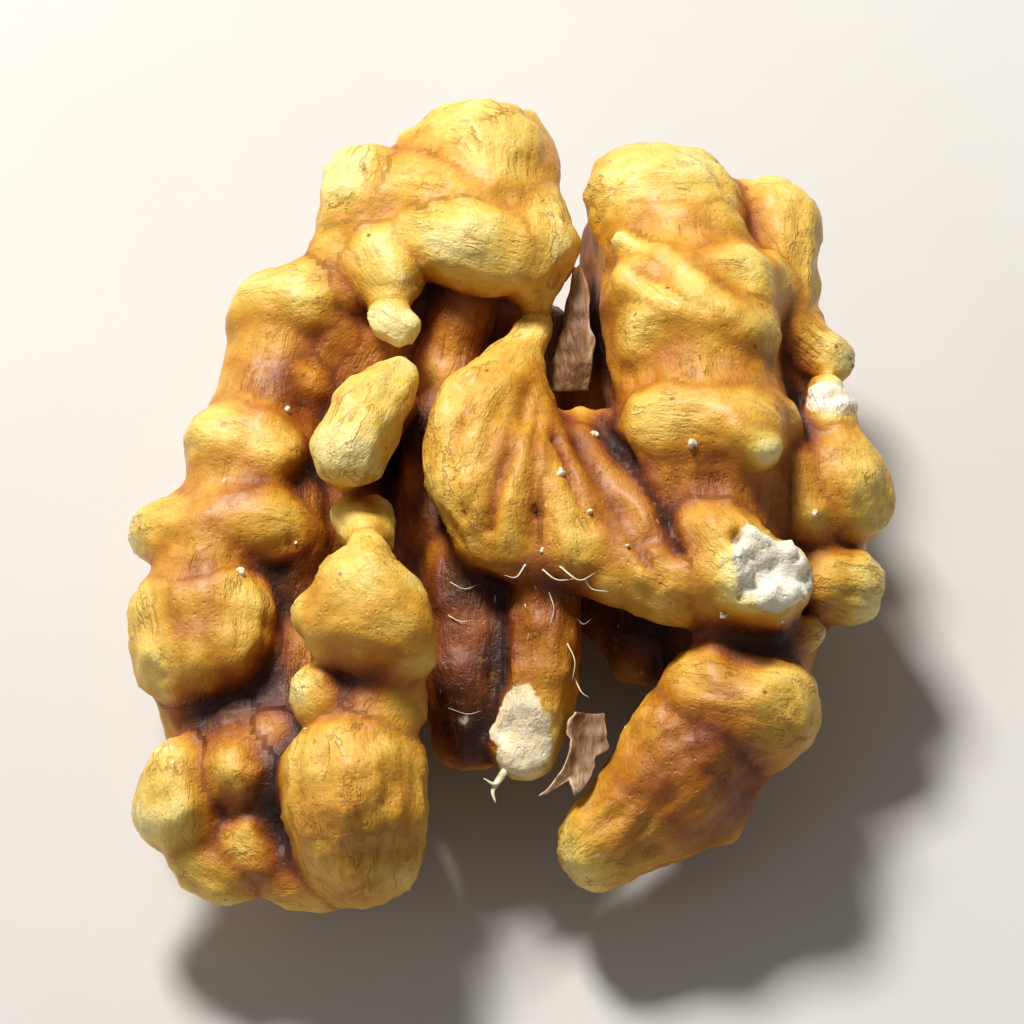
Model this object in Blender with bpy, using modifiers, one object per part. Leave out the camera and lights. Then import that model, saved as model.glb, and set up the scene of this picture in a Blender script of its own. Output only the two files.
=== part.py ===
"""A cracked walnut: one shelled half of the kernel, lying on its rounded back with its open face up.

The kernel is a single seed half. Two lobes, left and right, stand beside a deep cleft and are joined
by a bridge at their middle. Each lobe is a core wrapped in round folds, and each fold is a tube whose
thickness swells and narrows along its path. The folds grow into each other in one voxel remesh.
A torn sheet of the papery partition still stands in the cleft, as a separate piece.

Run it with: blender --background --python part.py
Frame: +X to the right lobe, +Y to the tip end of the nut, +Z up, origin on the surface under the middle.
"""

import math

import bmesh
import bpy
from mathutils import Matrix, Vector, noise

MM = 0.001

# Driving dimensions, in millimetres.
RIM_HEIGHT = 8.4
FOLD_STEP = 0.5
BACK_FOLDS = 6
BACK_FOLD_RADIUS = 1.9
VOXEL = 0.42
SMOOTH_PASSES = 5
BUMP_HEIGHT = 0.32
BUMP_SPACING = 3.4
TRIANGLES = 8000

# Each lobe's middle line seen from above: (x, y, half width, depth below the rim).
LOBES = {
    "left": [(-2.6, 14.0, 1.6, 2.4), (-5.0, 10.0, 3.0, 5.0), (-6.8, 4.0, 4.0, 6.2),
             (-8.2, -3.0, 4.8, 6.4), (-8.9, -9.5, 3.5, 5.8), (-8.9, -14.4, 2.9, 3.6)],
    "right": [(6.6, 12.4, 1.6, 2.6), (8.0, 9.0, 2.8, 5.0), (9.2, 4.0, 3.7, 6.2),
              (9.8, -2.0, 3.5, 6.2), (9.9, -8.6, 1.1, 4.8), (8.6, -11.6, 0.9, 4.2),
              (6.6, -14.4, 1.1, 3.2)],
}

# Folds of the open face: points as (x, y, z, radius), in millimetres.
LEFT_FACE = {
    "left_head": [(-3.2, 13.8, 10.2, 2.2), (-1.3, 13.9, 10.8, 2.8), (-0.8, 11.8, 11.2, 2.3)],
    "left_head_side": [(-4.8, 10.9, 10.4, 2.0), (-6.8, 9.5, 10.0, 1.9)],
    "left_head_face": [(-4.0, 11.8, 10.9, 2.1), (-2.6, 11.0, 11.4, 2.0), (-0.6, 10.6, 11.0, 2.2)],
    "left_temple": [(0.1, 15.1, 10.2, 1.7), (0.6, 12.9, 10.6, 1.35)],
    "left_cheek": [(0.8, 10.9, 11.2, 1.5), (1.1, 9.4, 11.5, 1.7), (0.9, 8.0, 11.2, 1.4),
                   (1.2, 7.2, 10.7, 0.8)],
    "left_knob": [(-6.4, 12.6, 11.0, 1.8), (-6.9, 11.2, 10.8, 1.55), (-7.4, 10.5, 10.0, 0.9)],
    "left_brow": [(-3.6, 9.3, 11.7, 1.4), (-2.0, 8.7, 12.2, 1.75), (-0.4, 8.3, 11.9, 1.6)],
    "left_nose": [(-5.6, 8.4, 11.3, 1.5), (-5.1, 7.2, 11.5, 1.25)],
    "left_lip": [(-5.2, 5.2, 11.6, 0.9), (-4.7, 4.8, 11.5, 0.85)],
    "left_dimple": [(-7.2, 8.6, 10.4, 0.8), (-7.1, 7.4, 10.4, 0.8)],
    "left_shoulder": [(-10.2, 7.3, 9.2, 1.9), (-9.0, 7.3, 9.6, 1.9)],
    "left_saddle": [(-11.0, 4.2, 8.6, 1.1), (-9.0, 3.5, 9.0, 1.2)],
    "left_spine": [(-9.8, 6.9, 8.9, 2.0), (-10.4, 3.8, 8.2, 2.0), (-11.2, 0.0, 8.2, 2.15),
                   (-12.6, -4.0, 7.9, 2.2), (-13.0, -6.8, 7.4, 2.2)],
    "left_second": [(-12.1, 0.5, 8.9, 1.85), (-10.4, -0.3, 9.2, 1.6)],
    "left_waist": [(-12.0, -1.3, 8.4, 1.0), (-10.6, -1.9, 8.6, 1.2)],
    "left_third": [(-15.0, -3.1, 7.6, 1.25), (-13.6, -3.5, 8.2, 1.75), (-10.2, -3.6, 8.6, 1.75)],
    "left_fourth": [(-14.3, -7.4, 7.6, 1.75), (-14.0, -9.0, 7.4, 1.9)],
    "left_fourth_in": [(-11.7, -7.3, 8.2, 1.75), (-11.8, -8.8, 8.0, 1.75)],
    "left_fourth_mid": [(-13.0, -7.5, 8.2, 1.6), (-12.9, -9.3, 7.8, 1.6)],
    "left_inner_top": [(-7.2, 5.8, 9.2, 0.9), (-8.2, 4.8, 8.9, 0.9)],
    "left_inner": [(-9.2, 2.4, 8.6, 0.9), (-9.2, 0.9, 8.4, 0.9)],
    "left_inner_low": [(-8.9, -1.8, 8.2, 0.9), (-9.1, -4.1, 8.0, 1.0), (-9.4, -5.7, 7.6, 0.9)],
    "left_oval": [(-4.9, 2.2, 11.6, 0.9), (-6.0, 0.3, 11.9, 1.5), (-6.8, -1.6, 11.9, 1.65)],
    "left_oval_root": [(-5.4, 2.1, 9.4, 1.2), (-6.4, 0.2, 9.2, 1.2)],
    "left_tongue": [(-6.9, -3.5, 9.9, 0.7), (-6.3, -4.9, 10.4, 0.9)],
    "left_tongue_side": [(-5.6, -3.0, 9.4, 0.6), (-5.6, -4.7, 10.0, 0.8)],
    "left_wedge": [(-6.1, -6.3, 11.2, 0.9), (-6.2, -8.6, 11.6, 1.9), (-5.2, -9.0, 11.4, 1.8)],
    "left_wedge_low": [(-7.4, -10.0, 10.9, 1.2), (-4.5, -10.7, 10.9, 1.3)],
    "left_wedge_side": [(-8.3, -9.0, 10.8, 0.9), (-5.8, -9.7, 11.2, 2.0), (-4.7, -10.2, 11.0, 1.4)],
    "left_neck": [(-4.9, -12.1, 9.1, 1.3), (-5.4, -12.9, 8.9, 1.5)],
    "left_neck_wide": [(-7.2, -11.9, 8.4, 1.2), (-5.0, -12.2, 8.8, 1.5)],
    "left_ball": [(-6.5, -15.6, 8.0, 2.9), (-6.4, -16.6, 7.6, 3.0), (-6.3, -17.5, 6.8, 2.8)],
    "left_bead": [(-8.2, -11.8, 9.4, 0.9), (-8.0, -12.3, 9.2, 0.95)],
    "left_slope": [(-13.4, -9.5, 5.4, 1.6), (-12.4, -12.9, 4.8, 1.6)],
    "left_slope_in": [(-9.8, -12.7, 7.0, 0.9), (-9.9, -13.7, 6.4, 0.9)],
    "left_egg": [(-13.9, -13.8, 6.4, 1.3), (-13.9, -15.7, 5.8, 1.75)],
    "left_toes": [(-13.1, -17.3, 4.8, 1.2), (-11.6, -18.0, 4.4, 1.2)],
    "left_toe_bead": [(-11.0, -17.1, 5.8, 1.0), (-10.4, -17.4, 5.4, 1.0)],
    "left_toe_in": [(-9.4, -18.2, 4.6, 1.1), (-7.8, -18.7, 5.2, 1.0)],
}
RIGHT_FACE = {
    "right_crown": [(5.9, 11.9, 10.4, 2.55), (7.5, 11.6, 10.6, 2.6)],
    "right_crown_top": [(5.1, 13.5, 10.0, 1.4), (7.2, 13.2, 10.2, 1.5)],
    "right_crown_low": [(5.8, 10.0, 11.4, 1.2), (8.6, 9.4, 11.6, 1.3)],
    "right_second": [(6.0, 6.5, 11.8, 1.7), (9.3, 6.6, 11.8, 1.9)],
    "right_second_side": [(9.6, 5.2, 11.6, 1.2), (11.0, 7.5, 10.6, 1.3)],
    "right_ridge": [(4.6, 8.7, 12.6, 0.35), (6.6, 7.1, 13.3, 0.4), (8.0, 5.1, 13.7, 0.4),
                    (10.0, 3.7, 13.3, 0.35)],
    "right_ridge_low": [(5.0, 6.4, 13.1, 0.35), (6.8, 4.6, 13.6, 0.35), (8.6, 3.9, 13.5, 0.3)],
    "right_third": [(6.1, 4.0, 12.0, 1.55), (9.6, 3.9, 11.9, 1.6)],
    "right_fourth": [(6.5, -0.3, 11.8, 1.75), (9.6, -0.7, 11.8, 1.95)],
    "right_fourth_side": [(10.2, 1.0, 11.4, 1.1), (11.1, 0.3, 11.0, 1.15)],
    "right_bubble": [(9.1, -0.9, 13.1, 0.6), (9.5, -1.3, 13.1, 0.6)],
    "right_bubble_low": [(10.3, -1.9, 13.0, 0.6), (10.6, -2.2, 12.9, 0.6)],
    "right_loaf": [(6.9, 10.8, 9.4, 3.1), (7.5, 7.2, 9.9, 3.5), (8.0, 3.6, 10.0, 3.5),
                   (8.4, -0.1, 9.6, 3.6), (8.6, -3.7, 8.6, 3.1)],
    "right_snapped": [(8.4, -5.2, 10.9, 1.6), (9.7, -6.9, 10.6, 2.0), (10.7, -7.1, 10.2, 1.9)],
    "right_snapped_low": [(8.2, -7.3, 10.2, 1.3), (10.4, -7.7, 9.9, 1.4)],
    "right_under": [(8.8, -8.8, 8.4, 0.9), (11.0, -8.7, 8.0, 1.0), (12.6, -8.2, 7.8, 0.8)],
    "right_outer": [(10.4, 12.5, 9.0, 1.6), (11.5, 11.7, 9.2, 1.95), (11.8, 9.4, 9.4, 1.6),
                    (12.0, 7.1, 9.5, 1.3)],
    "right_flap": [(12.6, 5.7, 9.4, 1.2), (13.8, 4.8, 9.2, 1.1)],
    "right_nub": [(13.5, 2.5, 9.8, 0.9), (13.7, 1.5, 9.8, 0.95)],
    "right_hip": [(13.7, 1.0, 9.0, 1.1), (14.2, -1.4, 8.6, 2.05), (14.4, -2.1, 8.2, 1.6)],
    "right_hip_in": [(12.2, -1.4, 9.4, 1.2), (12.6, -3.1, 9.0, 1.2)],
    "right_heel": [(13.4, -5.6, 7.6, 1.45), (14.4, -5.6, 7.2, 1.5)],
    "right_foot": [(8.4, -11.1, 7.5, 2.15), (10.4, -11.7, 7.4, 2.45)],
    "right_toe": [(7.6, -14.5, 4.6, 2.0), (5.6, -15.2, 4.8, 2.3), (3.7, -16.4, 4.3, 1.8)],
    "right_toe_side": [(8.6, -14.3, 4.6, 1.0), (8.8, -15.3, 4.2, 0.9)],
}

# The flap and the stub of the bridge that joins the lobes, and the wall of the cleft.
BRIDGE = {
    "petal_left": [(1.3, 6.1, 9.9, 0.6), (-0.1, 3.5, 10.4, 1.3), (-1.5, 0.4, 10.9, 1.9),
                   (-1.8, -2.5, 10.9, 1.7), (-1.0, -4.5, 10.4, 1.3)],
    "petal_second": [(0.8, 3.0, 10.6, 0.5), (0.5, -0.4, 11.4, 0.75), (0.2, -3.4, 11.5, 0.9),
                     (0.1, -5.1, 10.8, 0.95)],
    "petal_base": [(0.6, 1.6, 9.4, 1.0), (1.4, -1.5, 9.6, 1.8), (3.0, -3.4, 9.5, 2.0),
                   (4.8, -4.7, 9.3, 1.7)],
    "petal_middle": [(1.2, 1.6, 10.2, 0.5), (1.6, -1.2, 10.8, 0.7), (2.2, -3.7, 11.0, 1.0),
                     (2.8, -5.5, 10.6, 1.2)],
    "petal_right": [(2.8, -0.5, 10.2, 0.6), (4.2, -2.6, 10.6, 0.8), (5.3, -4.4, 10.6, 0.9),
                    (5.8, -5.8, 10.3, 1.1)],
    "petal_slope": [(3.2, 1.1, 9.2, 0.9), (5.0, 0.2, 9.4, 1.2), (6.4, -2.6, 9.8, 1.2)],
    "petal_hem": [(-1.2, -5.2, 9.8, 0.7), (0.8, -5.9, 9.8, 0.8), (3.0, -6.1, 9.8, 0.8),
                  (4.6, -6.6, 9.8, 0.9)],
    "petal_knob": [(5.5, -6.2, 9.9, 1.2), (6.9, -7.0, 9.8, 1.75)],
    "stub": [(1.4, -5.5, 8.8, 1.4), (1.4, -8.3, 7.9, 1.4), (1.3, -10.7, 7.2, 1.45),
             (0.6, -12.8, 6.4, 1.45)],
    "channel": [(-0.5, -3.9, 7.4, 1.5), (-0.5, -7.5, 6.6, 1.4), (-0.8, -10.1, 5.6, 1.2)],
    "wall_top": [(-1.9, 7.8, 9.4, 1.5), (-2.5, 5.7, 8.6, 1.5), (-3.2, 1.9, 7.8, 1.5),
                 (-3.0, -2.6, 7.2, 1.5)],
    "wall": [(-1.8, -4.6, 7.4, 1.8), (-1.8, -9.6, 6.2, 1.8), (-1.7, -11.5, 5.2, 1.6)],
}

# The web under the cleft, and the body of each lobe.
WEB = {
    "keel_left": [(-3.0, 8.0, 5.4, 2.2), (-3.4, 2.0, 4.6, 2.8), (-3.6, -4.0, 4.4, 2.6),
                  (-3.4, -8.0, 4.4, 2.0)],
    "keel_middle": [(0.8, 8.4, 4.8, 2.0), (0.6, 3.0, 4.4, 2.8), (0.6, -3.0, 4.2, 2.8),
                    (-0.4, -7.6, 4.0, 2.2)],
    "keel_right": [(4.4, 8.0, 5.4, 2.0), (4.6, 2.0, 4.8, 2.8), (5.2, -4.0, 4.0, 2.3),
                   (5.6, -6.6, 4.0, 1.5)],
}
CORES = {
    "left_core": [(-2.6, 12.4, 7.6, 2.8), (-5.2, 8.4, 6.8, 3.6), (-7.8, 3.0, 5.2, 3.7),
                  (-9.0, -3.0, 4.5, 3.6), (-9.2, -9.0, 4.2, 3.5), (-9.0, -13.4, 4.2, 3.1)],
    "right_core": [(6.8, 10.6, 7.6, 2.8), (8.6, 5.0, 6.8, 4.0), (9.6, -2.0, 6.4, 4.0),
                   (9.6, -8.0, 5.0, 2.5), (8.6, -11.4, 4.4, 2.1), (6.8, -14.3, 4.2, 2.0)],
}

# Snapped places, where white flesh shows: (centre, way the broken face looks), in millimetres.
SNAP_REACH = 2.6
SNAPS = [
    ((0.3, -13.1, 6.8), (-0.25, -0.55, 0.8)),
    ((10.9, -7.2, 10.9), (0.4, -0.55, 0.73)),
]

# Torn sheets of the papery partition: each edge is a row of (x, y, z), in millimetres.
SHEET_THICKNESS = 0.4
SEPTUM_TIP = [
    [(1.8, 9.9, 7.8), (1.9, 8.6, 7.8), (2.1, 7.4, 8.0), (2.4, 6.4, 8.3), (2.8, 5.4, 8.9)],
    [(2.3, 9.9, 8.9), (2.5, 8.6, 8.9), (2.7, 7.3, 9.1), (2.9, 6.3, 9.4), (3.0, 5.2, 9.7)],
    [(2.8, 9.8, 9.9), (3.0, 8.5, 9.9), (3.1, 7.2, 10.4), (3.2, 6.2, 10.4), (3.3, 5.1, 10.5)],
]
SEPTUM_FOOT = [
    [(3.3, -11.6, 7.0), (3.7, -11.6, 6.9), (4.1, -11.7, 6.6)],
    [(3.2, -12.6, 6.9), (3.6, -12.7, 6.8), (4.0, -12.8, 6.5)],
    [(3.0, -13.5, 7.0), (3.3, -13.7, 7.0), (3.7, -13.7, 6.7)],
    [(2.5, -14.3, 7.1), (2.9, -14.6, 7.1), (3.3, -14.5, 6.8)],
    [(2.0, -15.0, 7.2), (2.3, -15.2, 7.2), (2.7, -15.0, 7.0)],
]


def clear_scene():
    """Removes every object of the startup scene."""
    for obj in list(bpy.data.objects):
        bpy.data.objects.remove(obj)


def spline_point(points, t):
    """A Catmull-Rom curve through the points, at t from 0 to 1: (x, y, z, radius)."""
    spans = len(points) - 1
    i = min(int(t * spans), spans - 1)
    u = t * spans - i
    p1, p2 = Vector(points[i]), Vector(points[i + 1])
    p0 = Vector(points[i - 1]) if i > 0 else 2 * p1 - p2
    p3 = Vector(points[i + 2]) if i + 2 <= spans else 2 * p2 - p1
    return 0.5 * (2 * p1 + (p2 - p0) * u + (2 * p0 - 5 * p1 + 4 * p2 - p3) * u**2
                  + (3 * p1 - p0 - 3 * p2 + p3) * u**3)


def fold_stations(points):
    """Stations along a fold, closed at both ends by a quarter circle of shrinking radius."""
    length = sum((Vector(b[:3]) - Vector(a[:3])).length for a, b in zip(points, points[1:]))
    count = max(4, round(length / FOLD_STEP))
    body = [spline_point(points, i / count) for i in range(count + 1)]
    stations = []
    for end, inner in ((body[0], body[1]), (body[-1], body[-2])):
        away = (end.xyz - inner.xyz).normalized()
        cap = []
        for k in range(1, 6):
            angle = math.radians(17.5 * k)
            centre = end.xyz + away * end.w * math.sin(angle)
            cap.append((*centre, end.w * math.cos(angle)))
        stations.append(cap)
    return stations[0][::-1] + [tuple(p) for p in body] + stations[1]


def fold_mesh(name, points):
    """One fold as a mesh: a round curve whose radius changes along its path, converted."""
    stations = fold_stations(points)
    curve = bpy.data.curves.new(name, "CURVE")
    curve.dimensions = "3D"
    curve.bevel_depth = MM
    curve.bevel_resolution = 4
    curve.use_fill_caps = True
    spline = curve.splines.new("POLY")
    spline.points.add(len(stations) - 1)
    for point, (x, y, z, radius) in zip(spline.points, stations):
        point.co = (x * MM, y * MM, z * MM, 1)
        point.radius = radius
    obj = bpy.data.objects.new(name, curve)
    bpy.context.scene.collection.objects.link(obj)
    graph = bpy.context.evaluated_depsgraph_get()
    mesh = bpy.data.meshes.new_from_object(obj.evaluated_get(graph))
    bpy.data.objects.remove(obj)
    return mesh


def back_folds(side, outline):
    """Meandering folds round the back of one lobe: each keeps its own angle round the lobe's middle line."""
    outward = -1 if side == "left" else 1
    folds = {}
    for k in range(BACK_FOLDS):
        angle = math.radians(-66 + 27 * k)
        points = []
        for i in range(9):
            x, y, half_width, depth = spline_point(outline, i / 8)
            swing = angle * (1 - 0.035 * i) + 0.17 * math.sin(2.3 * i + 1.9 * k + outward)
            radius = BACK_FOLD_RADIUS + 0.4 * math.sin(2.1 * i + 1.3 * k)
            points.append((x + outward * half_width * math.sin(swing), y,
                           RIM_HEIGHT - depth * math.cos(swing), radius))
        folds[f"back_{side}_{k}"] = points
    return folds


def joined(meshes):
    """One mesh that holds all the given ones."""
    builder = bmesh.new()
    for mesh in meshes:
        builder.from_mesh(mesh)
        bpy.data.meshes.remove(mesh)
    result = bpy.data.meshes.new("kernel")
    builder.to_mesh(result)
    builder.free()
    return result


def applied(obj):
    """Replaces an object's mesh by the mesh its modifiers make, and drops the modifiers."""
    graph = bpy.context.evaluated_depsgraph_get()
    mesh = bpy.data.meshes.new_from_object(obj.evaluated_get(graph))
    obj.modifiers.clear()
    old = obj.data
    obj.data = mesh
    bpy.data.meshes.remove(old)


def grow_together(kernel):
    """Joins all folds into one skin, by rebuilding it on small cubes and then smoothing it."""
    remesh = kernel.modifiers.new("grown_together", "REMESH")
    remesh.mode = "VOXEL"
    remesh.voxel_size = VOXEL * MM
    smooth = kernel.modifiers.new("skin", "SMOOTH")
    smooth.iterations = SMOOTH_PASSES
    applied(kernel)


def outer_shell(mesh):
    """Keeps the biggest connected surface, so that no closed hollow is left inside."""
    builder = bmesh.new()
    builder.from_mesh(mesh)
    unseen = set(builder.verts)
    shells = []
    while unseen:
        shell = {unseen.pop()}
        edge_of_shell = list(shell)
        while edge_of_shell:
            vert = edge_of_shell.pop()
            for edge in vert.link_edges:
                other = edge.other_vert(vert)
                if other in unseen:
                    unseen.remove(other)
                    shell.add(other)
                    edge_of_shell.append(other)
        shells.append(shell)
    shells.sort(key=len)
    small = [vert for shell in shells[:-1] for vert in shell]
    bmesh.ops.delete(builder, geom=small, context="VERTS")
    builder.to_mesh(mesh)
    builder.free()


def raise_bumps(mesh):
    """Pushes the skin out where a slow noise is high and in where it is low, along its normals."""
    moved = []
    for vert in mesh.vertices:
        place = vert.co / (BUMP_SPACING * MM)
        height = noise.noise(place) + 0.5 * noise.noise(place * 2.1 + Vector((7.0, 3.0, 1.0)))
        moved.append(vert.co + vert.normal * height * BUMP_HEIGHT * MM)
    for vert, place in zip(mesh.vertices, moved):
        vert.co = place


def snap_off(mesh, centre, facing):
    """Flattens the skin that stands proud of a plane near one place, as if a piece had broken off."""
    centre = Vector(centre) * MM
    facing = Vector(facing).normalized()
    for vert in mesh.vertices:
        away = vert.co - centre
        height = away.dot(facing)
        if height > 0 and away.length < SNAP_REACH * MM:
            vert.co -= facing * height * 0.9


def thinned(kernel):
    """Spends fewer triangles where the skin is nearly flat."""
    decimate = kernel.modifiers.new("thinned", "DECIMATE")
    decimate.ratio = TRIANGLES / (2 * len(kernel.data.polygons))
    applied(kernel)


def plain_material(name, colour, roughness):
    """A Principled material of one colour, not metallic."""
    material = bpy.data.materials.new(name)
    material.use_nodes = True
    shader = material.node_tree.nodes["Principled BSDF"]
    shader.inputs["Base Color"].default_value = (*colour, 1.0)
    shader.inputs["Roughness"].default_value = roughness
    shader.inputs["Metallic"].default_value = 0.0
    return material


def kernel_skin():
    """Golden tan, a little oily."""
    return plain_material("kernel_skin", (0.60, 0.36, 0.13), 0.45)


def septum_paper():
    """Dull grey brown, like dry paper."""
    return plain_material("septum_paper", (0.36, 0.27, 0.22), 0.8)


def make_kernel():
    """The seed half: all folds and cores grown into one closed skin, then snapped in two places."""
    folds = {**LEFT_FACE, **RIGHT_FACE, **BRIDGE, **WEB, **CORES}
    for side, outline in LOBES.items():
        folds.update(back_folds(side, outline))
    mesh = joined([fold_mesh(name, points) for name, points in folds.items()])
    kernel = bpy.data.objects.new("kernel", mesh)
    bpy.context.scene.collection.objects.link(kernel)
    grow_together(kernel)
    outer_shell(kernel.data)
    raise_bumps(kernel.data)
    for centre, facing in SNAPS:
        snap_off(kernel.data, centre, facing)
    thinned(kernel)
    kernel.data.materials.append(kernel_skin())
    kernel.data.shade_smooth()
    return kernel


def make_septum(name, rows, paper):
    """A torn sheet of the partition: a curved grid given a thickness on both sides."""
    points = [tuple(value * MM for value in point) for row in rows for point in row]
    across = len(rows[0])
    faces = []
    for r in range(len(rows) - 1):
        for c in range(across - 1):
            corner = r * across + c
            faces.append((corner, corner + 1, corner + 1 + across, corner + across))
    mesh = bpy.data.meshes.new(name)
    mesh.from_pydata(points, [], faces)
    sheet = bpy.data.objects.new(name, mesh)
    bpy.context.scene.collection.objects.link(sheet)
    solid = sheet.modifiers.new("thickness", "SOLIDIFY")
    solid.thickness = SHEET_THICKNESS * MM
    solid.offset = 0.0
    applied(sheet)
    sheet.data.materials.append(paper)
    sheet.data.shade_smooth()
    return sheet


def stand_at_origin(pieces):
    """Moves all pieces so that the lowest point is at z = 0 and the box is centred over the origin."""
    places = [vert.co for piece in pieces for vert in piece.data.vertices]
    low = [min(place[axis] for place in places) for axis in range(3)]
    high = [max(place[axis] for place in places) for axis in range(3)]
    shift = Vector((-(low[0] + high[0]) / 2, -(low[1] + high[1]) / 2, -low[2]))
    for piece in pieces:
        piece.data.transform(Matrix.Translation(shift))


def main():
    clear_scene()
    parts = bpy.data.collections.new("cracked_walnut")
    bpy.context.scene.collection.children.link(parts)
    paper = septum_paper()
    pieces = [make_kernel(),
              make_septum("septum_tip", SEPTUM_TIP, paper),
              make_septum("septum_foot", SEPTUM_FOOT, paper)]
    stand_at_origin(pieces)
    for piece in pieces:
        bpy.context.scene.collection.objects.unlink(piece)
        parts.objects.link(piece)


main()
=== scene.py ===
# %% [markdown]
# # A cracked walnut: one half of the kernel
#
# Crack a walnut well and each half of its kernel comes out whole: two wrinkled lobes beside a deep
# cleft, held together by a bridge. This lesson builds that half lying on its rounded back.
#
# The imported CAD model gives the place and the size. It is loaded first, and its box is kept.

import itertools
import math

import bmesh
import bpy
import numpy as np
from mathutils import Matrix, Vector


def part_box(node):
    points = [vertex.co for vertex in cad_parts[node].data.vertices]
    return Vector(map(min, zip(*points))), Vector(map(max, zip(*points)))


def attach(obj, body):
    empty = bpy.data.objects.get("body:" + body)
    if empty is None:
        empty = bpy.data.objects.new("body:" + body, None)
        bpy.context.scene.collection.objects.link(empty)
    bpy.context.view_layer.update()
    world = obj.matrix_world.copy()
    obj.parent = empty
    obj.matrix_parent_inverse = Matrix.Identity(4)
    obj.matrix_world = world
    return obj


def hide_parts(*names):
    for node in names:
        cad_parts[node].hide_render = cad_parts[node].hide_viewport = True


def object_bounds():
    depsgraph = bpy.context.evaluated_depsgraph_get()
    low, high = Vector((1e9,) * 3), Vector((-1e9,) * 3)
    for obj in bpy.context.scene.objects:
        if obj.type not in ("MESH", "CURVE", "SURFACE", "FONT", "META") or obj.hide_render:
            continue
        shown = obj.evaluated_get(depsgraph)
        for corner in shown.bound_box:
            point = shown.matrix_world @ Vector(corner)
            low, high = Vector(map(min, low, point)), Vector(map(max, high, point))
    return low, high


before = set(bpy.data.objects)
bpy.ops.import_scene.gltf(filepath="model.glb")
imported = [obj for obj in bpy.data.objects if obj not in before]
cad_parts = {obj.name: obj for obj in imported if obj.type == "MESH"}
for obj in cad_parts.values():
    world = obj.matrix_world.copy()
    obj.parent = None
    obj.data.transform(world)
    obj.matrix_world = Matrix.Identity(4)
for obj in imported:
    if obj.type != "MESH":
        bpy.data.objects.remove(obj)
cad_box = [list(corner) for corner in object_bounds()]
MM = 0.001
print("CAD box in mm:", [[round(v / MM, 1) for v in corner] for corner in cad_box])

# %% [markdown]
# ## The folds
#
# A walnut kernel is a sheet of seed leaf crumpled into a shell that was too small for it, so its face is
# a set of round folds pressed against each other. Sculpting them by hand would work. Here each fold is a
# short path with a thickness at each point, because a path can be read, moved and measured. All numbers
# are millimetres: x to the right lobe, y to the tip of the nut, z up, and the fold's radius.

# %% The paths of the folds
# Each lobe's middle line seen from above: (x, y, half width, depth below the rim).
LOBES = {
    "left": [(-2.6, 14, 1.6, 2.4), (-5, 10, 3, 5), (-6.8, 4, 4, 6.2), (-8.2, -3, 4.8, 6.4),
        (-8.9, -9.5, 3.5, 5.8), (-8.9, -14.4, 2.9, 3.6)],
    "right": [(6.6, 12.4, 1.6, 2.6), (8, 9, 2.8, 5), (9.2, 4, 3.7, 6.2), (9.8, -2, 3.5, 6.2),
        (9.9, -8.6, 1.1, 4.8), (8.6, -11.6, 0.9, 4.2), (6.6, -14.4, 1.1, 3.2)],
}

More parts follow.
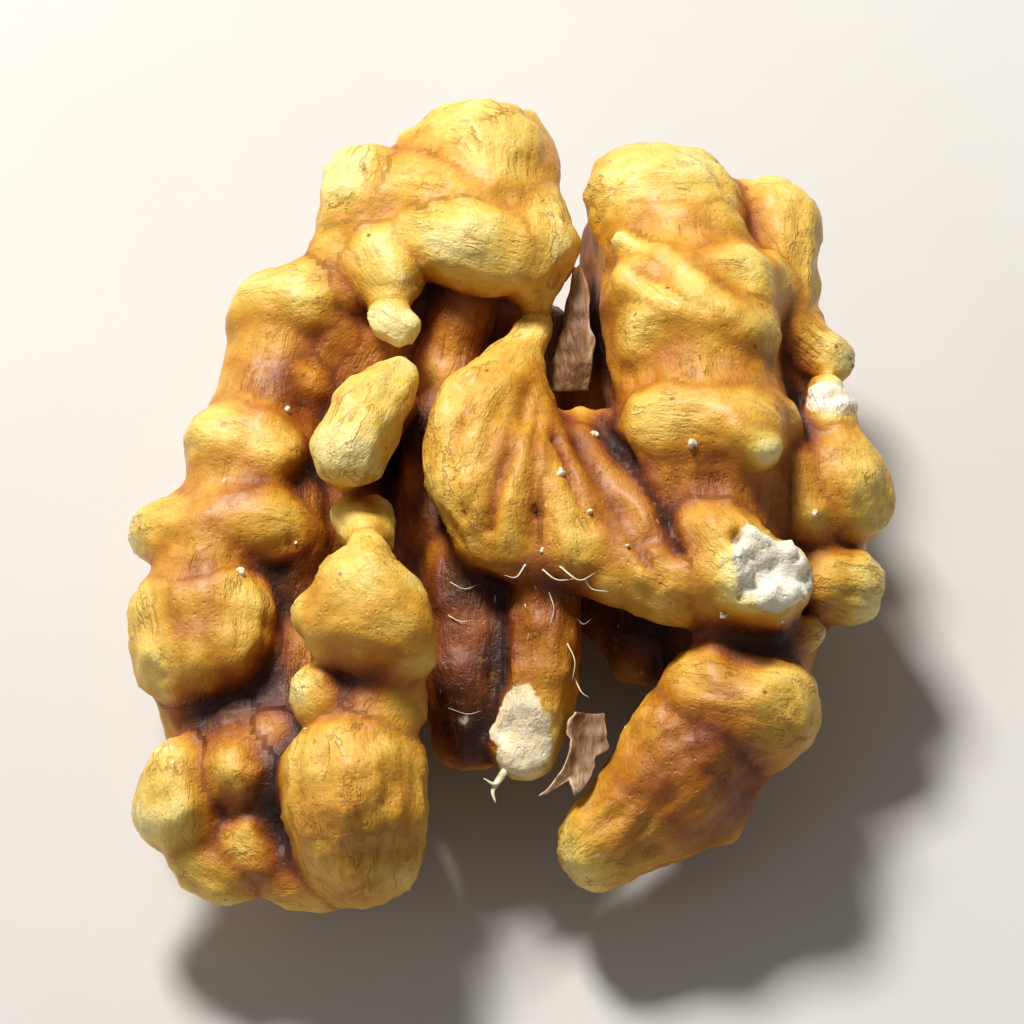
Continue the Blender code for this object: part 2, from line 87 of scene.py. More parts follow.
# Folds of the open face: points as (x, y, z, radius), in millimetres.
LEFT_FACE = {
    "left_head": [(-3.2, 13.8, 10.2, 2.2), (-1.3, 13.9, 10.8, 2.8), (-0.8, 11.8, 11.2, 2.3)],
    "left_head_side": [(-4.8, 10.9, 10.4, 2), (-6.8, 9.5, 10, 1.9)],
    "left_head_face": [(-4, 11.8, 10.9, 2.1), (-2.6, 11, 11.4, 2), (-0.6, 10.6, 11, 2.2)],
    "left_temple": [(0.1, 15.1, 10.2, 1.7), (0.6, 12.9, 10.6, 1.35)],
    "left_cheek": [(0.8, 10.9, 11.2, 1.5), (1.1, 9.4, 11.5, 1.7), (0.9, 8, 11.2, 1.4),
        (1.2, 7.2, 10.7, 0.8)],
    "left_knob": [(-6.4, 12.6, 11, 1.8), (-6.9, 11.2, 10.8, 1.55), (-7.4, 10.5, 10, 0.9)],
    "left_brow": [(-3.6, 9.3, 11.7, 1.4), (-2, 8.7, 12.2, 1.75), (-0.4, 8.3, 11.9, 1.6)],
    "left_nose": [(-5.6, 8.4, 11.3, 1.5), (-5.1, 7.2, 11.5, 1.25)],
    "left_lip": [(-5.2, 5.2, 11.6, 0.9), (-4.7, 4.8, 11.5, 0.85)],
    "left_dimple": [(-7.2, 8.6, 10.4, 0.8), (-7.1, 7.4, 10.4, 0.8)],
    "left_shoulder": [(-10.2, 7.3, 9.2, 1.9), (-9, 7.3, 9.6, 1.9)],
    "left_saddle": [(-11, 4.2, 8.6, 1.1), (-9, 3.5, 9, 1.2)],
    "left_spine": [(-9.8, 6.9, 8.9, 2), (-10.4, 3.8, 8.2, 2), (-11.2, 0, 8.2, 2.15),
        (-12.6, -4, 7.9, 2.2), (-13, -6.8, 7.4, 2.2)],
    "left_second": [(-12.1, 0.5, 8.9, 1.85), (-10.4, -0.3, 9.2, 1.6)],
    "left_waist": [(-12, -1.3, 8.4, 1), (-10.6, -1.9, 8.6, 1.2)],
    "left_third": [(-15, -3.1, 7.6, 1.25), (-13.6, -3.5, 8.2, 1.75), (-10.2, -3.6, 8.6, 1.75)],
    "left_fourth": [(-14.3, -7.4, 7.6, 1.75), (-14, -9, 7.4, 1.9)],
    "left_fourth_in": [(-11.7, -7.3, 8.2, 1.75), (-11.8, -8.8, 8, 1.75)],
    "left_fourth_mid": [(-13, -7.5, 8.2, 1.6), (-12.9, -9.3, 7.8, 1.6)],
    "left_inner_top": [(-7.2, 5.8, 9.2, 0.9), (-8.2, 4.8, 8.9, 0.9)],
    "left_inner": [(-9.2, 2.4, 8.6, 0.9), (-9.2, 0.9, 8.4, 0.9)],
    "left_inner_low": [(-8.9, -1.8, 8.2, 0.9), (-9.1, -4.1, 8, 1), (-9.4, -5.7, 7.6, 0.9)],
    "left_oval": [(-4.9, 2.2, 11.6, 0.9), (-6, 0.3, 11.9, 1.5), (-6.8, -1.6, 11.9, 1.65)],
    "left_oval_root": [(-5.4, 2.1, 9.4, 1.2), (-6.4, 0.2, 9.2, 1.2)],
    "left_tongue": [(-6.9, -3.5, 9.9, 0.7), (-6.3, -4.9, 10.4, 0.9)],
    "left_tongue_side": [(-5.6, -3, 9.4, 0.6), (-5.6, -4.7, 10, 0.8)],
    "left_wedge": [(-6.1, -6.3, 11.2, 0.9), (-6.2, -8.6, 11.6, 1.9), (-5.2, -9, 11.4, 1.8)],
    "left_wedge_low": [(-7.4, -10, 10.9, 1.2), (-4.5, -10.7, 10.9, 1.3)],
    "left_wedge_side": [(-8.3, -9, 10.8, 0.9), (-5.8, -9.7, 11.2, 2), (-4.7, -10.2, 11, 1.4)],
    "left_neck": [(-4.9, -12.1, 9.1, 1.3), (-5.4, -12.9, 8.9, 1.5)],
    "left_neck_wide": [(-7.2, -11.9, 8.4, 1.2), (-5, -12.2, 8.8, 1.5)],
    "left_ball": [(-6.5, -15.6, 8, 2.9), (-6.4, -16.6, 7.6, 3), (-6.3, -17.5, 6.8, 2.8)],
    "left_bead": [(-8.2, -11.8, 9.4, 0.9), (-8, -12.3, 9.2, 0.95)],
    "left_slope": [(-13.4, -9.5, 5.4, 1.6), (-12.4, -12.9, 4.8, 1.6)],
    "left_slope_in": [(-9.8, -12.7, 7, 0.9), (-9.9, -13.7, 6.4, 0.9)],
    "left_egg": [(-13.9, -13.8, 6.4, 1.3), (-13.9, -15.7, 5.8, 1.75)],
    "left_toes": [(-13.1, -17.3, 4.8, 1.2), (-11.6, -18, 4.4, 1.2)],
    "left_toe_bead": [(-11, -17.1, 5.8, 1), (-10.4, -17.4, 5.4, 1)],
    "left_toe_in": [(-9.4, -18.2, 4.6, 1.1), (-7.8, -18.7, 5.2, 1)],
}
RIGHT_FACE = {
    "right_crown": [(5.9, 11.9, 10.4, 2.55), (7.5, 11.6, 10.6, 2.6)],
    "right_crown_top": [(5.1, 13.5, 10, 1.4), (7.2, 13.2, 10.2, 1.5)],
    "right_crown_low": [(5.8, 10, 11.4, 1.2), (8.6, 9.4, 11.6, 1.3)],
    "right_second": [(6, 6.5, 11.8, 1.7), (9.3, 6.6, 11.8, 1.9)],
    "right_second_side": [(9.6, 5.2, 11.6, 1.2), (11, 7.5, 10.6, 1.3)],
    "right_ridge": [(4.6, 8.7, 12.6, 0.35), (6.6, 7.1, 13.3, 0.4), (8, 5.1, 13.7, 0.4),
        (10, 3.7, 13.3, 0.35)],
    "right_ridge_low": [(5, 6.4, 13.1, 0.35), (6.8, 4.6, 13.6, 0.35), (8.6, 3.9, 13.5, 0.3)],
    "right_third": [(6.1, 4, 12, 1.55), (9.6, 3.9, 11.9, 1.6)],
    "right_fourth": [(6.5, -0.3, 11.8, 1.75), (9.6, -0.7, 11.8, 1.95)],
    "right_fourth_side": [(10.2, 1, 11.4, 1.1), (11.1, 0.3, 11, 1.15)],
    "right_bubble": [(9.1, -0.9, 13.1, 0.6), (9.5, -1.3, 13.1, 0.6)],
    "right_bubble_low": [(10.3, -1.9, 13, 0.6), (10.6, -2.2, 12.9, 0.6)],
    "right_loaf": [(6.9, 10.8, 9.4, 3.1), (7.5, 7.2, 9.9, 3.5), (8, 3.6, 10, 3.5), (8.4, -0.1, 9.6, 3.6),
        (8.6, -3.7, 8.6, 3.1)],
    "right_snapped": [(8.4, -5.2, 10.9, 1.6), (9.7, -6.9, 10.6, 2), (10.7, -7.1, 10.2, 1.9)],
    "right_snapped_low": [(8.2, -7.3, 10.2, 1.3), (10.4, -7.7, 9.9, 1.4)],
    "right_under": [(8.8, -8.8, 8.4, 0.9), (11, -8.7, 8, 1), (12.6, -8.2, 7.8, 0.8)],
    "right_outer": [(10.4, 12.5, 9, 1.6), (11.5, 11.7, 9.2, 1.95), (11.8, 9.4, 9.4, 1.6),
        (12, 7.1, 9.5, 1.3)],
    "right_flap": [(12.6, 5.7, 9.4, 1.2), (13.8, 4.8, 9.2, 1.1)],
    "right_nub": [(13.5, 2.5, 9.8, 0.9), (13.7, 1.5, 9.8, 0.95)],
    "right_hip": [(13.7, 1, 9, 1.1), (14.2, -1.4, 8.6, 2.05), (14.4, -2.1, 8.2, 1.6)],
    "right_hip_in": [(12.2, -1.4, 9.4, 1.2), (12.6, -3.1, 9, 1.2)],
    "right_heel": [(13.4, -5.6, 7.6, 1.45), (14.4, -5.6, 7.2, 1.5)],
    "right_foot": [(8.4, -11.1, 7.5, 2.15), (10.4, -11.7, 7.4, 2.45)],
    "right_toe": [(7.6, -14.5, 4.6, 2), (5.6, -15.2, 4.8, 2.3), (3.7, -16.4, 4.3, 1.8)],
    "right_toe_side": [(8.6, -14.3, 4.6, 1), (8.8, -15.3, 4.2, 0.9)],
}

# The flap and the stub of the bridge that joins the lobes, and the wall of the cleft.
BRIDGE = {
    "petal_left": [(1.3, 6.1, 9.9, 0.6), (-0.1, 3.5, 10.4, 1.3), (-1.5, 0.4, 10.9, 1.9),
        (-1.8, -2.5, 10.9, 1.7), (-1, -4.5, 10.4, 1.3)],
    "petal_second": [(0.8, 3, 10.6, 0.5), (0.5, -0.4, 11.4, 0.75), (0.2, -3.4, 11.5, 0.9),
        (0.1, -5.1, 10.8, 0.95)],
    "petal_base": [(0.6, 1.6, 9.4, 1), (1.4, -1.5, 9.6, 1.8), (3, -3.4, 9.5, 2), (4.8, -4.7, 9.3, 1.7)],
    "petal_middle": [(1.2, 1.6, 10.2, 0.5), (1.6, -1.2, 10.8, 0.7), (2.2, -3.7, 11, 1),
        (2.8, -5.5, 10.6, 1.2)],
    "petal_right": [(2.8, -0.5, 10.2, 0.6), (4.2, -2.6, 10.6, 0.8), (5.3, -4.4, 10.6, 0.9),
        (5.8, -5.8, 10.3, 1.1)],
    "petal_slope": [(3.2, 1.1, 9.2, 0.9), (5, 0.2, 9.4, 1.2), (6.4, -2.6, 9.8, 1.2)],
    "petal_hem": [(-1.2, -5.2, 9.8, 0.7), (0.8, -5.9, 9.8, 0.8), (3, -6.1, 9.8, 0.8),
        (4.6, -6.6, 9.8, 0.9)],
    "petal_knob": [(5.5, -6.2, 9.9, 1.2), (6.9, -7, 9.8, 1.75)],
    "stub": [(1.4, -5.5, 8.8, 1.4), (1.4, -8.3, 7.9, 1.4), (1.3, -10.7, 7.2, 1.45),
        (0.6, -12.8, 6.4, 1.45)],
    "channel": [(-0.5, -3.9, 7.4, 1.5), (-0.5, -7.5, 6.6, 1.4), (-0.8, -10.1, 5.6, 1.2)],
    "wall_top": [(-1.9, 7.8, 9.4, 1.5), (-2.5, 5.7, 8.6, 1.5), (-3.2, 1.9, 7.8, 1.5),
        (-3, -2.6, 7.2, 1.5)],
    "wall": [(-1.8, -4.6, 7.4, 1.8), (-1.8, -9.6, 6.2, 1.8), (-1.7, -11.5, 5.2, 1.6)],
}

# The web under the cleft, and the body of each lobe.
WEB = {
    "keel_left": [(-3, 8, 5.4, 2.2), (-3.4, 2, 4.6, 2.8), (-3.6, -4, 4.4, 2.6), (-3.4, -8, 4.4, 2)],
    "keel_middle": [(0.8, 8.4, 4.8, 2), (0.6, 3, 4.4, 2.8), (0.6, -3, 4.2, 2.8), (-0.4, -7.6, 4, 2.2)],
    "keel_right": [(4.4, 8, 5.4, 2), (4.6, 2, 4.8, 2.8), (5.2, -4, 4, 2.3), (5.6, -6.6, 4, 1.5)],
}
CORES = {
    "left_core": [(-2.6, 12.4, 7.6, 2.8), (-5.2, 8.4, 6.8, 3.6), (-7.8, 3, 5.2, 3.7), (-9, -3, 4.5, 3.6),
        (-9.2, -9, 4.2, 3.5), (-9, -13.4, 4.2, 3.1)],
    "right_core": [(6.8, 10.6, 7.6, 2.8), (8.6, 5, 6.8, 4), (9.6, -2, 6.4, 4), (9.6, -8, 5, 2.5),
        (8.6, -11.4, 4.4, 2.1), (6.8, -14.3, 4.2, 2)],
}
BACK_FOLDS = 6
BACK_FOLD_RADIUS = 1.9
RIM_HEIGHT = 8.4
face = {**LEFT_FACE, **RIGHT_FACE}
print(len(face), "folds on the open face,", len(BRIDGE), "in the bridge")

# %% [markdown]
# ## A smooth path through a few points
#
# A fold bends evenly, so its path is a Catmull-Rom curve: it passes through every point and runs, at
# each one, parallel to the line between that point's neighbours. The radius is carried along as a fourth
# coordinate and so swells and narrows evenly too.

# %% Walk along a path
def length(vectors):
    """The length of each vector in an array of them."""
    return np.linalg.norm(vectors, axis=-1)


def stations(points, step=0.5):
    """Rows (x, y, z, radius) about one step apart along a Catmull-Rom curve.

    On the span from b to c, with a before and d after, the place at u from 0 to 1 is half of
    2b + (c - a) u + (2a - 5b + 4c - d) u^2 + (3b - a - 3c + d) u^3.
    """
    p = np.asarray(points, float)
    p = np.vstack([2 * p[0] - p[1], p, 2 * p[-1] - p[-2]])
    rows = []
    for a, b, c, d in zip(p, p[1:], p[2:], p[3:]):
        count = max(2, math.ceil(np.linalg.norm((c - b)[:3]) / step))
        u = np.arange(count)[:, None] / count
        rows.append(0.5 * (2 * b + (c - a) * u + (2 * a - 5 * b + 4 * c - d) * u**2
                           + (3 * b - a - 3 * c + d) * u**3))
    return np.vstack(rows + [p[-2:-1]])


def line_of(points, step):
    """The places of stations along a path that has no radius."""
    points = np.asarray(points, float)
    missing = np.ones((len(points), 4 - points.shape[1]))
    return stations(np.hstack([points, missing]), step)[:, :points.shape[1]]


print("the head fold has", len(stations(LEFT_FACE["left_head"])), "stations")

# %% [markdown]
# ## The folds of the back
#
# The back is never seen in a bowl of nuts but is wrinkled all the same. Its folds run from the tip to the
# foot of each lobe. Each keeps its own angle round the lobe's middle line and swings to and fro about it,
# so neighbours press against each other in wavy creases.

# %% Meandering folds for the back of one lobe
def back_folds(side, outline):
    """Folds at place = middle line + half width * sin(angle) across and - depth * cos(angle) down."""
    outward = -1 if side == "left" else 1
    line = stations(outline, 4.0)
    line = np.stack([np.interp(np.linspace(0, len(line) - 1, 9), np.arange(len(line)), column)
                     for column in line.T], axis=1)
    i = np.arange(9)
    folds = {}
    for k in range(BACK_FOLDS):
        angle = math.radians(-66 + 27 * k)
        swing = angle * (1 - 0.035 * i) + 0.17 * np.sin(2.3 * i + 1.9 * k + outward)
        radius = BACK_FOLD_RADIUS + 0.4 * np.sin(2.1 * i + 1.3 * k)
        folds[f"back_{side}_{k}"] = np.stack(
            [line[:, 0] + outward * line[:, 2] * np.sin(swing), line[:, 1],
             RIM_HEIGHT - line[:, 3] * np.cos(swing), radius], axis=1)
    return folds


back = {}
for side, outline in LOBES.items():
    back.update(back_folds(side, outline))
print(len(back), "folds on the back")

# %% [markdown]
# ## Two kinds of noise
#
# Growth is never even. Value noise gives soft hills: random heights on a lattice, blended inside each
# cell. Cell noise gives pebbles and cracks: the distance to the nearest of scattered points.

# %% Noise as whole arrays
rng = np.random.default_rng(11)
HEIGHTS = rng.uniform(-1, 1, (32, 32, 32))
SCATTER = rng.uniform(0, 1, (32, 32, 32, 3))


def hills(p):
    """Value noise from -1 to 1: the eight corners of the cell, weighed by 6u^5 - 15u^4 + 10u^3."""
    base = np.floor(p).astype(int)
    u = p - base
    u = u**3 * (u * (6 * u - 15) + 10)
    total = np.zeros(len(p))
    for corner in itertools.product((0, 1), repeat=3):
        weight = np.prod(np.where(corner, u, 1 - u), axis=1)
        i, j, k = ((base + corner) % 32).T
        total += weight * HEIGHTS[i, j, k]
    return total


def pebbles(p):
    """Distance to the nearest scattered point, with one point in each lattice cell."""
    base = np.floor(p).astype(int)
    nearest = np.full(len(p), 9.0)
    for corner in itertools.product((-1, 0, 1), repeat=3):
        cell = base + corner
        i, j, k = (cell % 32).T
        gap = length(cell + SCATTER[i, j, k] - p)
        nearest = np.minimum(nearest, gap)
    return nearest


# %% [markdown]
# ## Distance as a way to join shapes
#
# Joined tubes would keep a hard line where they meet. Real folds have grown together, with a soft
# valley. So the kernel is first a field on a grid of small cells: every cell holds its distance to the
# nearest fold, less that fold's radius. The kernel's skin is wherever this number is zero. Where two folds
# are equally near, a smooth minimum lowers the number a little, which fills the valley.

# %% The grid and its two operations
CELL = 0.25
REACH = 2.4
LOW = np.array([-18.5, -20.5, -2.5])
HIGH = np.array([18.5, 19.5, 16.5])
axes = [np.arange(low, high + CELL, CELL) for low, high in zip(LOW, HIGH)]
shape = tuple(len(axis) for axis in axes)


def window(low, high):
    """The slices of the grid that cover a box."""
    first = np.maximum(np.floor((np.asarray(low) - LOW) / CELL).astype(int), 0)
    last = np.minimum(np.ceil((np.asarray(high) - LOW) / CELL).astype(int) + 1, shape)
    return tuple(slice(a, b) for a, b in zip(first, last))


def rod_distance(x, y, z, a, b):
    """Distance to a rod from station a to station b, less its radius there.

    t is how far along the rod the nearest point of its middle line lies, held between 0 and 1.
    """
    run = b[:3] - a[:3]
    t = (x - a[0]) * run[0] + (y - a[1]) * run[1] + (z - a[2]) * run[2]
    t = np.clip(t / max(run @ run, 1e-9), 0, 1)
    gap = np.sqrt((x - a[0] - t * run[0])**2 + (y - a[1] - t * run[1])**2
                  + (z - a[2] - t * run[2])**2)
    return gap - (a[3] + t * (b[3] - a[3]))


def smooth_minimum(a, b, width):
    """a and b mixed by h, less width * h * (1 - h), where h goes from 0 to 1 as b gets lower than a."""
    h = np.clip(0.5 + 0.5 * (a - b) / width, 0, 1)
    return a * (1 - h) + b * h - width * h * (1 - h)


print("grid of", " x ".join(str(n) for n in shape), "cells")

# %% [markdown]
# ## Where it snapped
#
# Cracking the shell broke the kernel in a few places, and white flesh shows there. Each break is a bite:
# a ball with a crumbly surface, cut out of one fold by a maximum before that fold joins the others. So a
# bite never scars the folds beside it.

# %% The bites
# The folds that are bitten, with the ball's middle and radius.
RIGHT_BITE = ((14.1, -8.3, 17.4), 7.0)
BITES = {"stub": ((-2.2, -18.2, 13.9), 9.1), "right_snapped": RIGHT_BITE,
         "right_snapped_low": RIGHT_BITE, "right_loaf": RIGHT_BITE}
# Where white flesh shows: the middle, how far it reaches, and how white it is.
BREAKS = {"stub": ((0.4, -13.0, 7.0), 3.0, 0.7), "right_snapped": ((12.0, -7.6, 11.3), 3.3, 1.0)}
WHITE_NUB = ((13.7, 1.9, 10.0), 1.15)
print(len(BITES), "folds are bitten")


def bite_distance(p, centre, radius):
    """Distance to a ball whose radius wanders by noise of two sizes: negative inside the bite."""
    rough = 0.55 * hills(p * 0.66) + 0.24 * hills(p * 1.6)
    return length(p - centre) - radius - rough


# %% Add one fold to the field
def add_fold(field, points, width, bite=None):
    """Lowers the field round one fold: rods between its stations, then a smooth minimum with the rest."""
    rows = stations(points)
    around = rows[:, 3:].max() + REACH
    part = window(rows[:, :3].min(0) - around, rows[:, :3].max(0) + around)
    own = np.full([s.stop - s.start for s in part], REACH)
    for a, b in zip(rows, rows[1:]):
        near = max(a[3], b[3]) + REACH
        box = window(np.minimum(a, b)[:3] - near, np.maximum(a, b)[:3] + near)
        inner = tuple(slice(s.start - p.start, s.stop - p.start) for s, p in zip(box, part))
        x, y, z = (axis[s].reshape([-1 if k == n else 1 for k in range(3)])
                   for n, (axis, s) in enumerate(zip(axes, box)))
        np.minimum(own[inner], rod_distance(x, y, z, a, b), out=own[inner])
    if bite:
        mesh_axes = np.meshgrid(*[axis[s] for axis, s in zip(axes, part)], indexing="ij")
        p = np.stack([axis.ravel() for axis in mesh_axes], axis=1)
        own = np.maximum(own, -bite_distance(p, *bite).reshape(own.shape))
    field[part] = smooth_minimum(field[part], own, width)


# How wide the soft valleys are: the folds whose names start so have shallow ones.
SHALLOW = ("right_crown", "right_second", "right_third", "petal")
INNER_VALLEY, SHALLOW_VALLEY, VALLEY = 1.0, 1.4, 0.9
inner_folds = {**CORES, **WEB, **back}
outer_folds = {**BRIDGE, **face}
field = np.full(shape, REACH)
for points in inner_folds.values():
    add_fold(field, points, INNER_VALLEY)
for name, points in outer_folds.items():
    valley = SHALLOW_VALLEY if name.startswith(SHALLOW) else VALLEY
    add_fold(field, points, valley, BITES.get(name))
print("solid share of the grid:", round(float((field < 0).mean()), 3))

# %% [markdown]
# ## From field to skin
#
# The zero surface is turned into a mesh with a surface net: each cell that the skin passes through gets
# one vertex, at the middle of the points where the skin crosses the cell's edges, and each grid edge that
# the skin crosses gets one face between the four cells round it. It gives even quads, which shade well.
# Where solid corners meet only across a square, the skin would touch itself, so such a square is filled.

# %% A surface net
JUST_SOLID = -0.02


def skin_of(field):
    """Vertices in millimetres and quads that look outwards, of the surface where the field is zero."""
    inside = field < 0
    corners = list(itertools.product((0, 1), repeat=3))
    size = tuple(n - 1 for n in field.shape)

    def at(values, corner):
        return values[tuple(slice(c, c + n) for c, n in zip(corner, size))]

    count = sum(at(inside, corner).astype(int) for corner in corners)
    active = (count > 0) & (count < 8)
    number = np.full(size, -1)
    number[active] = np.arange(active.sum())
    cells = np.argwhere(active)
    total = np.zeros((len(cells), 3))
    crossings = np.zeros(len(cells))
    for a, b in itertools.combinations(corners, 2):
        if sum(abs(m - n) for m, n in zip(a, b)) != 1:
            continue
        fa, fb = at(field, a)[active], at(field, b)[active]
        crossed = (fa < 0) != (fb < 0)
        t = np.where(crossed, fa / np.where(crossed, fa - fb, 1), 0)[:, None]
        place = np.array(a) + t * (np.array(b) - np.array(a))
        total += np.where(crossed[:, None], place, 0)
        crossings += crossed
    vertices = LOW + CELL * (cells + total / crossings[:, None])
    quads = []
    for axis in range(3):
        first = [slice(1, n) for n in size]
        first[axis] = slice(0, size[axis])
        second = list(first)
        second[axis] = slice(1, size[axis] + 1)
        start, end = inside[tuple(first)], inside[tuple(second)]
        one, two = (k for k in range(3) if k != axis)
        around = []
        for step_one, step_two in ((0, 0), (-1, 0), (-1, -1), (0, -1)):
            pick = list(first)
            pick[one] = slice(1 + step_one, size[one] + step_one)
            pick[two] = slice(1 + step_two, size[two] + step_two)
            around.append(number[tuple(pick)])
        around = np.stack(around, axis=-1)
        flip = axis == 1
        leaving = around[start & ~end]
        entering = around[~start & end]
        quads.append(leaving[:, ::-1] if flip else leaving)
        quads.append(entering if flip else entering[:, ::-1])
    return vertices, np.vstack(quads)


# %% Clean the net and even it
def largest_shell(vertices, quads):
    """Keeps one connected skin: every vertex takes the lowest number in its faces until none changes."""
    label = np.arange(len(vertices))
    changed = True
    while changed:
        lowest = label.copy()
        np.minimum.at(lowest, quads.ravel(), np.repeat(label[quads].min(axis=1), 4))
        lowest = lowest[lowest]
        changed = bool((lowest != label).any())
        label = lowest
    main = np.bincount(label).argmax()
    kept = label == main
    number = np.cumsum(kept) - 1
    return vertices[kept], number[quads[kept[quads[:, 0]]]]


def evened(vertices, quads, passes):
    """Moves each vertex to the mean of the middles of its faces, which takes out the grid's steps."""
    share = np.bincount(quads.ravel(), minlength=len(vertices))[:, None]
    for _ in range(passes):
        middle = np.repeat(vertices[quads].mean(axis=1), 4, axis=0)
        total = [np.bincount(quads.ravel(), column, len(vertices)) for column in middle.T]
        vertices = np.stack(total, axis=1) / share
    return vertices


def without_touching_edges(field):
    """Fills a grid corner wherever solid corners meet only across a square, so no skin touches itself."""
    field = field.copy()
    touching = 1
    while touching:
        touching = 0
        for one, two in itertools.combinations(range(3), 2):
            corner = {}
            for i, j in itertools.product((0, 1), repeat=2):
                pick = [slice(None)] * 3
                pick[one] = slice(i, field.shape[one] - 1 + i)
                pick[two] = slice(j, field.shape[two] - 1 + j)
                corner[i, j] = field[tuple(pick)]
            falling, rising = ((0, 0), (1, 1)), ((0, 1), (1, 0))
            for full, empty in ((falling, rising), (rising, falling)):
                found = (corner[full[0]] < 0) & (corner[full[1]] < 0)
                found &= (corner[empty[0]] >= 0) & (corner[empty[1]] >= 0)
                corner[empty[0]][found] = JUST_SOLID
                touching += int(found.sum())
    return field


field = without_touching_edges(field)
vertices, quads = skin_of(field)
vertices, quads = largest_shell(vertices, quads)
vertices = evened(vertices, quads, 2)
print("skin:", len(vertices), "vertices,", len(quads), "quads")

# %% [markdown]
# ## Reading the grid at any place
#
# Colour and fine relief depend on where a place is on the kernel: on a crest, down in a crease, or deep
# in the cleft. The grid can tell. Blur it, so that each cell holds the share of solid round it. On a flat
# skin that share is a half. On a crest it is less, and in a crease it is more.

# %% Blur and look up
def blurred(values, radius, passes=3):
    """Running mean over 2 * radius + 1 cells along each axis, repeated: close to a Gaussian blur."""
    for _ in range(passes):
        for axis in range(3):
            padded = np.pad(values, [(radius + 1, radius) if k == axis else (0, 0) for k in range(3)],
                            mode="edge")
            total = np.cumsum(padded, axis=axis, dtype=float)
            ahead = np.take(total, range(2 * radius + 1, total.shape[axis]), axis=axis)
            behind = np.take(total, range(total.shape[axis] - 2 * radius - 1), axis=axis)
            values = (ahead - behind) / (2 * radius + 1)
    return values


def looked_up(values, p):
    """The grid's value at each place, blended from the eight cells round it by nearness."""
    place = (p - LOW) / CELL
    base = np.clip(np.floor(place).astype(int), 0, np.array(values.shape) - 2)
    u = place - base
    total = np.zeros(len(p))
    for corner in itertools.product((0, 1), repeat=3):
        weight = np.prod(np.where(corner, u, 1 - u), axis=1)
        i, j, k = (base + corner).T
        total += weight * values[i, j, k]
    return total


solid = np.clip(0.5 - field / CELL, 0, 1)
# crease and depth also darken the skin's colour in creases and deep in the cleft, which is painted shade.
crease = looked_up(blurred(solid, 2), vertices) - 0.5
depth = looked_up(blurred(solid, 8), vertices) - 0.5
print("crease from 5% to 95%:", np.percentile(crease, [5, 50, 95]).round(2))
print("depth from 5% to 95%:", np.percentile(depth, [5, 50, 95]).round(2))

# %% [markdown]
# ## The grain of each fold
#
# The skin is finely pleated along each fold, as the fold was squeezed from its sides. To draw that, every
# vertex finds its nearest fold and takes coordinates from it: the offset across the fold as it is, and
# the way along the fold shortened, so any noise read there is stretched into pleats.

# %% Coordinates that follow the folds
STRETCH = 0.22
all_folds = {**inner_folds, **outer_folds}


def fold_grain(p):
    """Grain coordinates (offset across + direction * way along * STRETCH), and their strength.

    The strength is 0 where two folds are equally near, and 1 from half a millimetre off that line.
    """
    nearest = np.full(len(p), 9.0)
    second = np.full(len(p), 9.0)
    grain = np.zeros_like(p)
    for number, points in enumerate(all_folds.values()):
        rows = stations(points)
        middle, reach = rows[:, :3], rows[:, 3:].max() + REACH
        near = np.flatnonzero(((p > middle.min(0) - reach) & (p < middle.max(0) + reach)).all(axis=1))
        gaps = length(p[near, None] - middle[None]) - rows[:, 3]
        pick = gaps.argmin(axis=1)
        gap = gaps[np.arange(len(near)), pick]
        won = gap < nearest[near]
        second[near] = np.where(won, nearest[near], np.minimum(gap, second[near]))
        near, pick = near[won], pick[won]
        nearest[near] = gap[won]
        run = np.gradient(middle, axis=0)
        direction = (run / length(run)[:, None])[pick]
        way = np.cumsum(length(run))[pick]
        offset = p[near] - middle[pick]
        along = np.sum(offset * direction, axis=1)
        across = offset - along[:, None] * direction
        grain[near] = across + direction * (STRETCH * (way + along))[:, None] + 1.7 * number
    return grain, np.clip((second - nearest) / 0.6, 0, 1)**1.5


grain, strength = fold_grain(vertices)
strength = evened(strength[:, None], quads, 2)[:, 0]
print("grain coordinates run from", grain.min().round(1), "to", grain.max().round(1))

# %% [markdown]
# ## The fan of creases
#
# The bridge was squeezed from both sides, so creases fan out over it from its top. They could be folds of
# their own, but a crease is easier to place as a line: a few points on a plane that leans 58 degrees from
# the ground, as the face of the bridge does, and a width. Where a place on the skin is near a line, it is
# pushed in, and its colour is darkened too, which is painted shade.

# %% Creases along short lines
CREASES = [
    ([(0.9, 4.4), (0.4, 2.6), (-0.4, 0.6), (-0.9, -1.6)], 0.24),
    ([(1.3, 4.0), (1.0, 2.0), (1.0, 0.4), (1.2, -1.0)], 0.20),
    ([(2.2, 3.6), (3.1, 1.8), (4.2, -0.2), (5.6, -1.9)], 0.30),
    ([(1.9, 2.4), (2.7, 0.4), (3.3, -1.4)], 0.16),
    ([(3.6, 3.2), (5.0, 1.4), (6.4, -0.9), (7.0, -2.4)], 0.26),
    ([(4.9, -1.6), (5.6, -2.8), (6.3, -3.8)], 0.20),
    ([(-2.1, 3.0), (-2.5, 1.0), (-1.9, -1.0)], 0.14),
]
BRIDGE_UNDERSIDE = 8.8
LEANING = np.array([(1, 0), (0, 0.848), (0, 0.530)])


